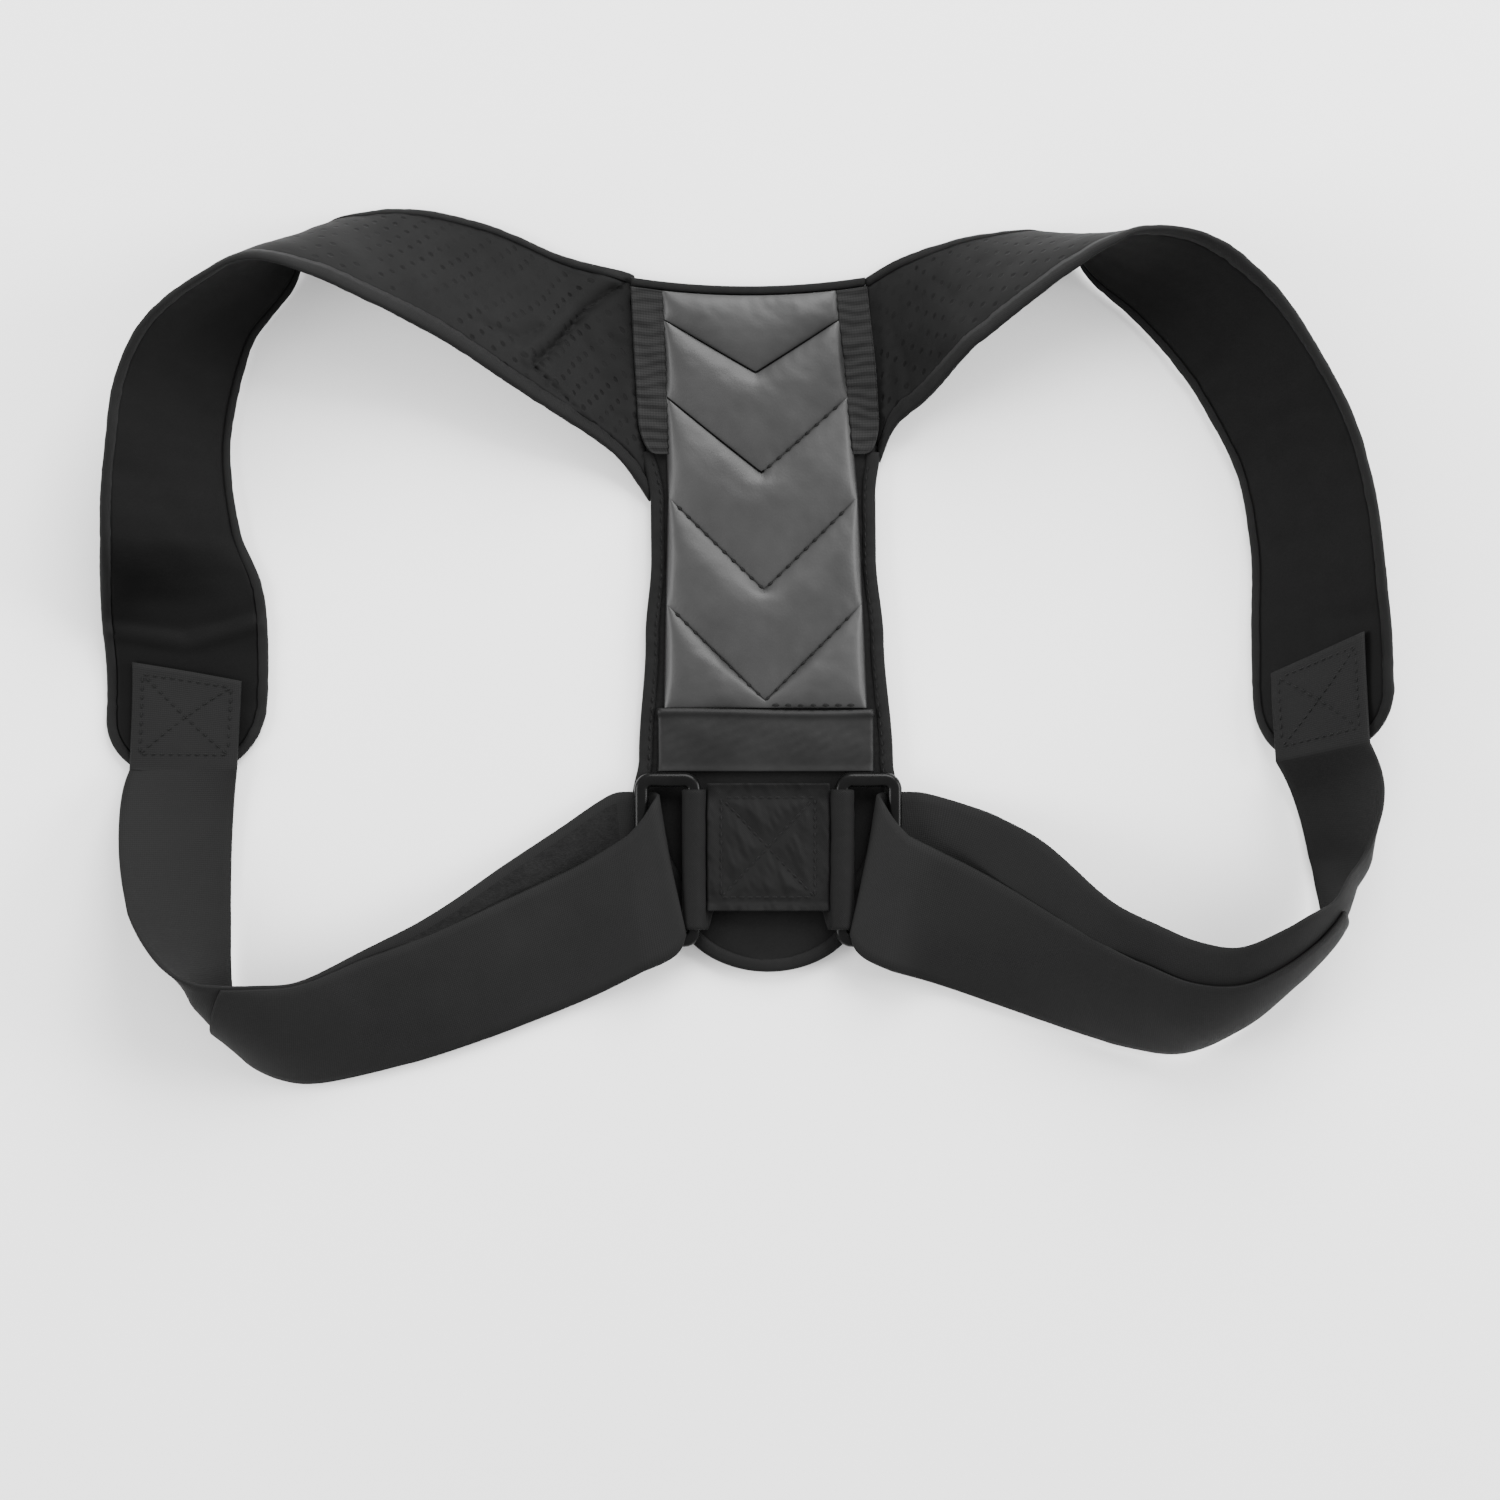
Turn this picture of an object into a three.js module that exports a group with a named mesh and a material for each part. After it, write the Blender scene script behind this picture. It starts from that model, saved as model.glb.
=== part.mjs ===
import * as THREE from "three";

// A back and shoulder brace lying with the outer face of its spine panel up.
// Millimetres: X runs across the panel, Y up the spine from the tongue's tip, Z up from the
// surface that it lies on. Each shoulder loop stands on its neck edge and leans as it goes round.

// Clearances
const FIT_GAP = 0.4;
const SEAM_GAP = 0.6;
const FLOOR_GAP = 0.2;

// Spine panel
const PANEL_LENGTH = 278;
const PANEL_TOP_WIDTH = 94;
const PANEL_WAIST_WIDTH = 90;
const PANEL_LOW_WIDTH = 106;
const PANEL_THICKNESS = 5;
const PANEL_TOP_DIP = 3.6;
const PANEL_DRIFT = 8;
const TONGUE_WIDTH = 76;
const TONGUE_DEPTH = 29;
const PANEL_BINDING_WIDTH = 5.5;
const TOP_BINDING_WIDTH = 3.5;
const TOP_BINDING_INSET = 1.3;
const BINDING_RAISE = 0.5;

// Quilted cover, band below it and side tapes
const COVER_BOTTOM_UP = 105.6;
const COVER_TOP_WIDTH = 69;
const COVER_LOW_WIDTH = 80;
const COVER_EDGE_THICKNESS = 1.6;
const COVER_BULGE = 4.2;
const BAND_LENGTH = 25;
const BAND_WIDTH = 85;
const BAND_EDGE_THICKNESS = 1.6;
const BAND_BULGE = 1;
const TAPE_THICKNESS = 1.2;
const TAPE_INSET = 0.2;

// Rings, the webbing that holds them and the stitched square between them
const RING_UP = 45;
const RING_OPENING_LENGTH = 58;
const RING_OPENING_WIDTH = 15;
const RING_BAR_WIDTH = 6;
const RING_BAR_THICKNESS = 5;
const RING_CORNER_RADIUS = 5;
const LOOP_WIDTH = 55;
const LOOP_THICKNESS = 1.4;
const TAB_WIDTH = 48;
const TAB_LENGTH = 51;
const TAB_THICKNESS = 1.4;
const TAB_RAISE = 5;

// Shoulder pads
const PAD_WIDTH = 64;
const PAD_THICKNESS = 4;
const PAD_EDGE_SHARE = 0.6;
const PAD_END_RADIUS = 26;
const PAD_BINDING_WIDTH = 4;
const PAD_START_INSET = 1.5;
const PAD_SEAM_SHARE = 1.09;
const SEAM_TUCK = 2.2;
const LEFT_REACH = 219;
const RIGHT_REACH = 208;

// Elastic straps
const STRAP_WIDTH = 50;
const STRAP_THICKNESS = 1.6;
const SEWN_LENGTH = 42;
const SEWN_WIDTH_SHARE = 0.84;

// Sections of the panel's outline from the tongue up: height as a share of the panel's length,
// width, and sideways drift of the middle as a share of PANEL_DRIFT
const PANEL_SECTIONS = [
  { up: TONGUE_DEPTH / PANEL_LENGTH, width: TONGUE_WIDTH, drift: 0.4 },
  { up: 0.176, width: 0.85 * PANEL_LOW_WIDTH, drift: 0.4 },
  { up: 0.255, width: PANEL_LOW_WIDTH, drift: 0.25 },
  { up: 0.306, width: 0.96 * PANEL_LOW_WIDTH, drift: 0.3 },
  { up: 0.48, width: 1.06 * PANEL_WAIST_WIDTH, drift: 0.23 },
  { up: 0.595, width: PANEL_WAIST_WIDTH, drift: 0.18 },
  { up: 0.682, width: PANEL_WAIST_WIDTH, drift: 0.15 },
  { up: 0.754, width: 1.02 * PANEL_TOP_WIDTH, drift: 0.0 },
  { up: 0.855, width: 1.02 * PANEL_TOP_WIDTH, drift: -0.2 },
  { up: 1.0, width: PANEL_TOP_WIDTH, drift: -0.6 },
];

// Chevron seams of the cover from the bottom up: height of the seam's two ends and how far its
// point hangs below them, as shares of the cover's length
const CHEVRON_SEAMS = [
  { up: 0.245, dip: 0.228 },
  { up: 0.497, dip: 0.217 },
  { up: 0.737, dip: 0.18 },
  { up: 0.922, dip: 0.127 },
];

// Sections of the shoulder pads, from the panel round to the pad's end. Each stands on its neck
// edge, out from the panel's side by `out` of the loop's reach and up from the rings by `up` of
// the distance from them to the panel's top. `face` is the way from the neck edge to the armhole
// edge in plan, in degrees from straight out towards straight up, `lean` the degrees that it rises
// from flat, `wide` its share of the pad's width and `bulge` its sag as a share of that width.
const LEFT_PAD_SECTIONS = [
  { out: 0.159, up: 1.038, face: -104, lean: 8, wide: 1.24, bulge: 0 },
  { out: 0.305, up: 1.093, face: -102, lean: 22, wide: 1.16, bulge: 0.02 },
  { out: 0.415, up: 1.115, face: -100, lean: 34, wide: 1.02, bulge: 0.04 },
  { out: 0.516, up: 1.11, face: -97, lean: 53, wide: 1, bulge: 0.05 },
  { out: 0.578, up: 1.091, face: -76, lean: 68, wide: 1, bulge: 0.06 },
  { out: 0.622, up: 1.045, face: -17, lean: 70, wide: 1, bulge: 0.06 },
  { out: 0.648, up: 0.985, face: 2, lean: 59, wide: 1, bulge: 0.06 },
  { out: 0.718, up: 0.895, face: 8, lean: 51, wide: 1, bulge: 0.05 },
  { out: 0.751, up: 0.794, face: 7, lean: 44, wide: 1, bulge: 0.04 },
  { out: 0.763, up: 0.691, face: -4, lean: 43, wide: 1, bulge: 0.03 },
  { out: 0.748, up: 0.571, face: -8, lean: 34, wide: 1, bulge: 0.02 },
  { out: 0.704, up: 0.468, face: -9, lean: 6, wide: 1.02, bulge: 0 },
  { out: 0.693, up: 0.348, face: -7, lean: 0, wide: 1.02, bulge: 0 },
  { out: 0.702, up: 0.149, face: -2, lean: 0, wide: 1, bulge: 0 },
];
const RIGHT_PAD_SECTIONS = [
  { out: 0.03, up: 1.022, face: -88, lean: 3, wide: 1.04, bulge: 0 },
  { out: 0.081, up: 1.041, face: -86, lean: 12, wide: 0.99, bulge: 0.01 },
  { out: 0.167, up: 1.065, face: -87, lean: 37, wide: 1, bulge: 0.03 },
  { out: 0.254, up: 1.075, face: -79, lean: 52, wide: 0.98, bulge: 0.04 },
  { out: 0.321, up: 1.075, face: -66, lean: 67, wide: 0.98, bulge: 0.05 },
  { out: 0.377, up: 1.052, face: -11, lean: 77, wide: 1, bulge: 0.05 },
  { out: 0.417, up: 1.0, face: 38, lean: 66, wide: 1, bulge: 0.05 },
  { out: 0.509, up: 0.923, face: 47, lean: 49, wide: 1, bulge: 0.04 },
  { out: 0.581, up: 0.854, face: 41, lean: 43, wide: 1, bulge: 0.03 },
  { out: 0.638, up: 0.777, face: 30, lean: 42, wide: 1, bulge: 0.03 },
  { out: 0.7, up: 0.666, face: 22, lean: 41, wide: 1, bulge: 0.03 },
  { out: 0.728, up: 0.537, face: 14, lean: 39, wide: 1, bulge: 0.03 },
  { out: 0.731, up: 0.4, face: 6, lean: 35, wide: 1, bulge: 0.02 },
  { out: 0.733, up: 0.288, face: 6, lean: 33, wide: 1, bulge: 0 },
  { out: 0.742, up: 0.151, face: 12, lean: 32, wide: 1, bulge: 0 },
];

// Sections of the elastic straps from the pad's end round to the ring, in the same columns with
// widths as shares of the strap's. Where the strap is folded back over itself, `shift` is how far
// the layer below lies towards the armhole, as a share of the strap's width.
const LEFT_STRAP_SECTIONS = [
  { out: 0.759, up: 0.108, face: 2, lean: 10, wide: 0.9, bulge: 0, shift: 0 },
  { out: 0.766, up: -0.003, face: -3, lean: 28, wide: 0.97, bulge: 0.03, shift: 0 },
  { out: 0.766, up: -0.106, face: -3, lean: 44, wide: 1, bulge: 0.05, shift: 0 },
  { out: 0.767, up: -0.187, face: -2, lean: 64, wide: 1, bulge: 0.08, shift: 0 },
  { out: 0.764, up: -0.25, face: 38, lean: 72, wide: 1, bulge: 0.18, shift: 0 },
  { out: 0.768, up: -0.29, face: 92, lean: 68, wide: 1, bulge: 0.18, shift: 0 },
  { out: 0.726, up: -0.348, face: 98, lean: 50, wide: 1, bulge: 0.12, shift: 0 },
  { out: 0.633, up: -0.381, face: 89, lean: 37, wide: 1, bulge: 0.08, shift: 0 },
  { out: 0.459, up: -0.352, face: 76, lean: 26, wide: 1, bulge: 0.04, shift: 0.05 },
  { out: 0.314, up: -0.314, face: 72, lean: 22, wide: 1, bulge: 0.02, shift: 0.15 },
  { out: 0.17, up: -0.259, face: 72, lean: 10, wide: 1, bulge: 0, shift: 0.24 },
  { out: 0.09, up: -0.232, face: 77, lean: 6, wide: 1, bulge: 0, shift: 0.36 },
];
const RIGHT_STRAP_SECTIONS = [
  { out: 0.808, up: 0.125, face: 6, lean: 38, wide: 0.92, bulge: 0.06, shift: 0 },
  { out: 0.829, up: 0.07, face: 6, lean: 50, wide: 1, bulge: 0.15, shift: 0 },
  { out: 0.844, up: 0.005, face: 1, lean: 62, wide: 1, bulge: 0.25, shift: 0 },
  { out: 0.85, up: -0.048, face: 22, lean: 75, wide: 1, bulge: 0.18, shift: 0.04 },
  { out: 0.848, up: -0.125, face: 66, lean: 75, wide: 1, bulge: 0.14, shift: 0.15 },
  { out: 0.812, up: -0.185, face: 82, lean: 70, wide: 1, bulge: 0.13, shift: 0.3 },
  { out: 0.765, up: -0.228, face: 87, lean: 67, wide: 1, bulge: 0.14, shift: 0.33 },
  { out: 0.705, up: -0.285, face: 95, lean: 60, wide: 1, bulge: 0.14, shift: 0.33 },
  { out: 0.604, up: -0.327, face: 89, lean: 46, wide: 1, bulge: 0.14, shift: 0.33 },
  { out: 0.496, up: -0.319, face: 80, lean: 41, wide: 1, bulge: 0.1, shift: 0.33 },
  { out: 0.352, up: -0.281, face: 66, lean: 38, wide: 1, bulge: 0.08, shift: 0.35 },
  { out: 0.171, up: -0.223, face: 62, lean: 24, wide: 1, bulge: 0.03, shift: 0.46 },
  { out: 0.09, up: -0.2, face: 66, lean: 12, wide: 1, bulge: 0.01, shift: 0.44 },
];

// The strap's turn round the ring's outer bar: how far each edge lies out from the bar and up
// from the ring's middle, as shares of the strap's width, and the side of the bar that it is on,
// from -1 below it to 1 above it
const STRAP_TURN = [
  { armOut: 0.2, armUp: 0.53, neckOut: 0.12, neckUp: -0.48, level: -1 },
  { armOut: 0.0, armUp: 0.53, neckOut: -0.16, neckUp: -0.52, level: -1 },
  { armOut: -0.13, armUp: 0.52, neckOut: -0.26, neckUp: -0.53, level: 0 },
  { armOut: -0.1, armUp: 0.46, neckOut: -0.25, neckUp: -0.54, level: 1 },
  { armOut: 0.0, armUp: 0.3, neckOut: -0.17, neckUp: -0.74, level: 1.15 },
  { armOut: 0.15, armUp: 0.14, neckOut: 0.1, neckUp: -0.92, level: 1.1 },
];

// Places worked out from the sizes
const LOOP_RISE = PANEL_LENGTH - RING_UP;
const PANEL_TOP_FACE = PANEL_THICKNESS + BINDING_RAISE;
const DECK = PANEL_TOP_FACE + FIT_GAP;
const UNDER_BAR = Math.max(STRAP_THICKNESS, LOOP_THICKNESS) + FIT_GAP;
const RING_MIDDLE = DECK + UNDER_BAR + RING_BAR_THICKNESS / 2;
const TAB_HALF = TAB_WIDTH / 2;
const INNER_BAR_OUT = TAB_HALF + 3 * FIT_GAP + LOOP_THICKNESS + RING_BAR_WIDTH / 2;
const OUTER_BAR_OUT = INNER_BAR_OUT + RING_OPENING_WIDTH + RING_BAR_WIDTH;
const PAD_FOOT = FLOOR_GAP + (PAD_THICKNESS * PAD_EDGE_SHARE) / 2 + BINDING_RAISE;
const STRAP_FOOT = FLOOR_GAP + STRAP_THICKNESS + FIT_GAP / 2;
const LAYER_OFFSET = (STRAP_THICKNESS + FIT_GAP) / 2;
const PAD_START_UP = PANEL_LENGTH - PAD_START_INSET;
const CORNER_UP = PAD_START_UP - PAD_SEAM_SHARE * PAD_WIDTH;

// Divisions of the modelled surfaces
const STEPS_PER_SECTION = 3;
const STRAP_STEPS = 3;
const PAD_DIVISIONS = 4;
const STRAP_DIVISIONS = 4;
const BRIDGE_STEPS = 4;

/** The value a share of the way from one number to another. */
function mix(from, to, share) {
  return from + (to - from) * share;
}

/** Turns a geometry's faces outward if they all point inward. */
function facingOutward(geometry) {
  const places = geometry.getAttribute("position");
  const index = geometry.getIndex();
  const corner = new THREE.Vector3();
  const second = new THREE.Vector3();
  const third = new THREE.Vector3();
  let volume = 0;
  for (let i = 0; i < index.count; i += 3) {
    corner.fromBufferAttribute(places, index.getX(i));
    second.fromBufferAttribute(places, index.getX(i + 1));
    third.fromBufferAttribute(places, index.getX(i + 2));
    volume += corner.dot(second.cross(third));
  }
  if (volume < 0) {
    for (let i = 0; i < index.count; i += 3) {
      const swapped = index.getX(i + 1);
      index.setX(i + 1, index.getX(i + 2));
      index.setX(i + 2, swapped);
    }
  }
  geometry.computeVertexNormals();
  return geometry;
}

/** Geometry from a list of points and a list of triangles. */
function meshGeometry(points, triangles) {
  const geometry = new THREE.BufferGeometry();
  const places = points.flatMap((point) => [point.x, point.y, point.z]);
  geometry.setAttribute("position", new THREE.Float32BufferAttribute(places, 3));
  geometry.setIndex(triangles);
  return facingOutward(geometry);
}

/** A closed body through a run of closed sections, each a ring of the same number of points. */
function loftedBody(sections, joined = false) {
  const around = sections[0].length;
  const points = sections.flat();
  const triangles = [];
  const runs = joined ? sections.length : sections.length - 1;
  for (let i = 0; i < runs; i++) {
    const here = i * around;
    const there = ((i + 1) % sections.length) * around;
    for (let j = 0; j < around; j++) {
      const next = (j + 1) % around;
      triangles.push(here + j, there + j, there + next);
      triangles.push(here + j, there + next, here + next);
    }
  }
  if (!joined) {
    const last = (sections.length - 1) * around;
    const half = around / 2;
    for (let j = 0; j < half - 1; j++) {
      const back = around - 1 - j;
      triangles.push(j, j + 1, back - 1, j, back - 1, back);
      triangles.push(last + j, last + back - 1, last + j + 1, last + j, last + back, last + back - 1);
    }
  }
  return meshGeometry(points, triangles);
}

/** The surface normal at each point of a grid of points. */
function gridNormals(grid) {
  const last = grid.length - 1;
  return grid.map((row, i) =>
    row.map((point, j) => {
      const along = new THREE.Vector3().subVectors(
        grid[Math.min(i + 1, last)][j], grid[Math.max(i - 1, 0)][j]);
      const across = new THREE.Vector3().subVectors(
        row[Math.min(j + 1, row.length - 1)], row[Math.max(j - 1, 0)]);
      return along.cross(across).normalize();
    })
  );
}

/** A closed body of a given half thickness on each side of a grid of points. */
function thickBody(grid, halfThickness) {
  const normals = gridNormals(grid);
  const sections = grid.map((row, i) => {
    const upper = row.map((point, j) => point.clone().addScaledVector(normals[i][j], halfThickness(j)));
    const lower = row.map((point, j) => point.clone().addScaledVector(normals[i][j], -halfThickness(j)));
    return [...upper, ...lower.reverse()];
  });
  return loftedBody(sections);
}

/** A named piece with its own material. */
function piece(name, geometry, color, roughness, metalness = 0) {
  const mesh = new THREE.Mesh(geometry, new THREE.MeshStandardMaterial({ color, roughness, metalness }));
  mesh.name = name;
  return mesh;
}

/** The panel's middle and half width at a height above the tongue's tip. */
function panelAt(height) {
  const up = height / PANEL_LENGTH;
  const rows = PANEL_SECTIONS;
  let index = rows.findIndex((row) => row.up >= up);
  if (index < 0) {
    index = rows.length - 1;
  }
  index = Math.max(index, 1);
  const below = rows[index - 1];
  const above = rows[index];
  const share = THREE.MathUtils.clamp((up - below.up) / (above.up - below.up), 0, 1);
  const eased = share * share * (3 - 2 * share);
  return {
    middle: PANEL_DRIFT * mix(below.drift, above.drift, share),
    half: mix(below.width, above.width, eased) / 2,
  };
}

/** Height of the panel's dipped top edge at a distance across. */
function topEdge(x) {
  const top = panelAt(PANEL_LENGTH);
  const share = (x - top.middle) / top.half;
  return PANEL_LENGTH - PANEL_TOP_DIP * Math.max(0, 1 - share * share);
}

/** The open outline from the panel's top left, down round the tongue and up to its top right. */
function panelOutline() {
  const points = [];
  const tongueTop = PANEL_SECTIONS[0].up * PANEL_LENGTH;
  const sideSteps = 22;
  const tongueSteps = 18;
  for (let i = 0; i <= sideSteps; i++) {
    const height = mix(PANEL_LENGTH, tongueTop, i / sideSteps);
    const place = panelAt(height);
    points.push(new THREE.Vector2(place.middle - place.half, height));
  }
  const foot = panelAt(tongueTop);
  for (let i = 1; i < tongueSteps; i++) {
    const angle = (Math.PI * i) / tongueSteps;
    const across = foot.middle - foot.half * Math.cos(angle);
    points.push(new THREE.Vector2(across, tongueTop - tongueTop * Math.sin(angle)));
  }
  for (let i = sideSteps; i >= 0; i--) {
    const height = mix(PANEL_LENGTH, tongueTop, i / sideSteps);
    const place = panelAt(height);
    points.push(new THREE.Vector2(place.middle + place.half, height));
  }
  return points;
}

/** Moves each point of an open outline inward by a distance that may differ along it. */
function insetOutline(points, inset) {
  return points.map((point, i) => {
    const before = points[Math.max(i - 1, 0)];
    const after = points[Math.min(i + 1, points.length - 1)];
    const along = new THREE.Vector2().subVectors(after, before).normalize();
    const inward = new THREE.Vector2(-along.y, along.x);
    return point.clone().addScaledVector(inward, inset(point));
  });
}

/** The flat backing of the panel, inside its bindings. */
function backPad() {
  const outline = insetOutline(panelOutline(), (point) =>
    point.y < CORNER_UP ? PANEL_BINDING_WIDTH + FIT_GAP : SEAM_TUCK);
  const shape = new THREE.Shape();
  const topInset = TOP_BINDING_WIDTH + FIT_GAP;
  const kept = outline.filter((point) => point.y < PANEL_LENGTH - 1.5 * topInset);
  const steps = 10;
  const topLeft = kept[0];
  const topRight = kept[kept.length - 1];
  kept.forEach((point, i) => (i ? shape.lineTo(point.x, point.y) : shape.moveTo(point.x, point.y)));
  for (let i = 0; i <= steps; i++) {
    const x = mix(topRight.x, topLeft.x, i / steps);
    shape.lineTo(x, topEdge(x) - topInset);
  }
  shape.closePath();
  return new THREE.ExtrudeGeometry(shape, { depth: PANEL_THICKNESS, bevelEnabled: false, steps: 1 });
}

/** A rounded binding between two lines of points, from the floor gap to above the panel. */
function flatBinding(outer, inner) {
  const low = FLOOR_GAP;
  const high = PANEL_TOP_FACE;
  const round = BINDING_RAISE;
  const sections = outer.map((edge, i) => {
    const inside = inner[i];
    const at = (share, z) => new THREE.Vector3(mix(edge.x, inside.x, share), mix(edge.y, inside.y, share), z);
    return [
      at(0.15, low), at(0, low + round), at(0, high - 2 * round), at(0.25, high),
      at(0.85, high), at(1, high - round), at(1, low + round), at(0.85, low),
    ];
  });
  return loftedBody(sections);
}

/** The binding down both sides of the panel and round its tongue. */
function lowerBinding() {
  const outline = panelOutline();
  const inner = insetOutline(outline, () => PANEL_BINDING_WIDTH);
  const kept = outline.map((point, i) => i).filter((i) => outline[i].y < CORNER_UP - FIT_GAP);
  return flatBinding(kept.map((i) => outline[i]), kept.map((i) => inner[i]));
}

/** The binding across the panel's dipped top edge. */
function topBinding() {
  const top = panelAt(PANEL_LENGTH);
  const steps = 14;
  const outer = [];
  const inner = [];
  for (let i = 0; i <= steps; i++) {
    const x = top.middle + (top.half - TOP_BINDING_INSET) * mix(-1, 1, i / steps);
    outer.push(new THREE.Vector2(x, topEdge(x)));
    inner.push(new THREE.Vector2(x, topEdge(x) - TOP_BINDING_WIDTH));
  }
  return flatBinding(outer, inner);
}

/** The cover's half width at a height, from its wide foot to its narrow top. */
function coverHalf(height) {
  const share = (height - COVER_BOTTOM_UP) / (PANEL_LENGTH - COVER_BOTTOM_UP);
  return mix(COVER_LOW_WIDTH, COVER_TOP_WIDTH, share) / 2;
}

/** The quilted cover: soft fields that bulge between recessed chevron seams. */
function spineCover() {
  const base = PANEL_THICKNESS + FIT_GAP;
  const topInset = TOP_BINDING_WIDTH + FIT_GAP;
  const length = PANEL_LENGTH - topInset - COVER_BOTTOM_UP;
  const seams = [{ up: 0, dip: 0 }, ...CHEVRON_SEAMS, { up: 1, dip: 0, dipped: true }];
  const columns = 10;
  const rowsPerField = 4;
  const seamHeight = (seam, across) => {
    if (seam.dipped) {
      const x = panelAt(PANEL_LENGTH).middle + (COVER_TOP_WIDTH / 2) * across;
      return 1 - (PANEL_LENGTH - topEdge(x)) / length;
    }
    return seam.up - seam.dip * (1 - Math.abs(across));
  };
  const sections = [];
  for (let field = 0; field < seams.length - 1; field++) {
    const firstRow = field ? 1 : 0;
    for (let row = firstRow; row <= rowsPerField; row++) {
      const share = row / rowsPerField;
      const upper = [];
      const lower = [];
      for (let column = 0; column <= columns; column++) {
        const across = mix(-1, 1, column / columns);
        const from = seamHeight(seams[field], across);
        const to = seamHeight(seams[field + 1], across);
        const height = COVER_BOTTOM_UP + length * mix(from, to, share);
        const x = panelAt(height).middle + coverHalf(height) * across;
        const fullness = Math.min(1, (to - from) / 0.12);
        const edge = Math.pow(1 - across ** 6, 0.5);
        const bulge = COVER_BULGE * fullness * edge * Math.sin(Math.PI * share) ** 0.7;
        upper.push(new THREE.Vector3(x, height, base + COVER_EDGE_THICKNESS + bulge));
        lower.push(new THREE.Vector3(x, height, base));
      }
      sections.push([...upper, ...lower.reverse()]);
    }
  }
  return loftedBody(sections);
}

/** The plain band between the cover and the rings. */
function pocketBand() {
  const base = PANEL_THICKNESS + FIT_GAP;
  const top = COVER_BOTTOM_UP - FIT_GAP;
  const columns = 8;
  const rows = 5;
  const sections = [];
  for (let row = 0; row <= rows; row++) {
    const height = mix(top - BAND_LENGTH, top, row / rows);
    const upper = [];
    const lower = [];
    for (let column = 0; column <= columns; column++) {
      const across = mix(-1, 1, column / columns);
      const x = panelAt(height).middle + (BAND_WIDTH / 2) * across;
      const bulge = BAND_BULGE * Math.sin((Math.PI * row) / rows) * (1 - across ** 4);
      upper.push(new THREE.Vector3(x, height, base + BAND_EDGE_THICKNESS + bulge));
      lower.push(new THREE.Vector3(x, height, base));
    }
    sections.push([...upper, ...lower.reverse()]);
  }
  return loftedBody(sections);
}

/** The tape over the seam between the cover and a shoulder pad. */
function sideTape(side) {
  const base = PANEL_THICKNESS + FIT_GAP;
  const steps = 8;
  const panelTop = panelAt(PANEL_LENGTH);
  const innerAcross = (height) => coverHalf(height) + FIT_GAP;
  const outerAcross = (height) => panelAt(height).half - TAPE_INSET;
  const pointOn = (across, share, lift) => {
    const edge = topEdge(panelTop.middle + side * across(PANEL_LENGTH)) - TOP_BINDING_WIDTH - FIT_GAP;
    const height = mix(CORNER_UP + FIT_GAP, edge, share);
    return new THREE.Vector3(panelAt(height).middle + side * across(height), height, base + lift);
  };
  const sections = [];
  for (let i = 0; i <= steps; i++) {
    const share = i / steps;
    sections.push([
      pointOn(innerAcross, share, 0), pointOn(innerAcross, share, TAPE_THICKNESS),
      pointOn(outerAcross, share, TAPE_THICKNESS), pointOn(outerAcross, share, 0),
    ]);
  }
  return loftedBody(sections);
}

/** Half the angle that a section's arc turns through, from its sag as a share of its width. */
function arcHalfAngle(bulge) {
  const turn = 4 * bulge;
  return turn * (1 + (turn * turn) / 12);
}

/** The ends of a section: its neck edge on the floor and its armhole edge. */
function sectionEnds(row, side, reach, width, foot) {
  const face = THREE.MathUtils.degToRad(row.face);
  const lean = THREE.MathUtils.degToRad(row.lean);
  const half = arcHalfAngle(row.bulge);
  const shortening = half > 0.01 ? Math.sin(half) / half : 1;
  const chord = width * (row.wide + (row.shift ?? 0)) * shortening;
  const flat = chord * Math.cos(lean);
  const neck = new THREE.Vector3(
    side * (PANEL_WAIST_WIDTH / 2 + row.out * reach), RING_UP + row.up * LOOP_RISE, foot);
  const arm = new THREE.Vector3(
    neck.x + side * flat * Math.cos(face), neck.y + flat * Math.sin(face), foot + chord * Math.sin(lean));
  return { neck, arm, bulge: row.bulge, shift: row.shift ?? 0 };
}

/** Smooth stations through the sections of a band, each with its outward normal. */
function bandStations(ends, side, steps) {
  const neckLine = new THREE.CatmullRomCurve3(ends.map((end) => end.neck), false, "centripetal");
  const armLine = new THREE.CatmullRomCurve3(ends.map((end) => end.arm), false, "centripetal");
  const count = (ends.length - 1) * steps;
  const stations = [];
  for (let i = 0; i <= count; i++) {
    const section = Math.min(Math.floor(i / steps), ends.length - 2);
    const share = i / steps - section;
    stations.push({
      neck: neckLine.getPoint(i / count),
      arm: armLine.getPoint(i / count),
      half: arcHalfAngle(mix(ends[section].bulge, ends[section + 1].bulge, share)),
      shift: mix(ends[section].shift, ends[section + 1].shift, share),
    });
  }
  const middles = stations.map((station) => station.neck.clone().lerp(station.arm, 0.5));
  stations.forEach((station, i) => {
    const along = new THREE.Vector3().subVectors(
      middles[Math.min(i + 1, count)], middles[Math.max(i - 1, 0)]);
    const across = new THREE.Vector3().subVectors(station.arm, station.neck);
    station.normal = along.cross(across).normalize().multiplyScalar(-side);
    station.length = i ? stations[i - 1].length + middles[i].distanceTo(middles[i - 1]) : 0;
  });
  return stations;
}

/** The point a share of the way across a station, along its arc from neck to armhole. */
function pointAcross(station, share) {
  if (station.half < 0.01) {
    return station.neck.clone().lerp(station.arm, share);
  }
  const chord = new THREE.Vector3().subVectors(station.arm, station.neck);
  const radius = chord.length() / (2 * Math.sin(station.half));
  const angle = station.half * (2 * share - 1);
  const rise = radius * (Math.cos(angle) - Math.cos(station.half));
  return station.neck.clone().lerp(station.arm, 0.5)
    .addScaledVector(chord.normalize(), radius * Math.sin(angle))
    .addScaledVector(station.normal, rise);
}

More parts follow.
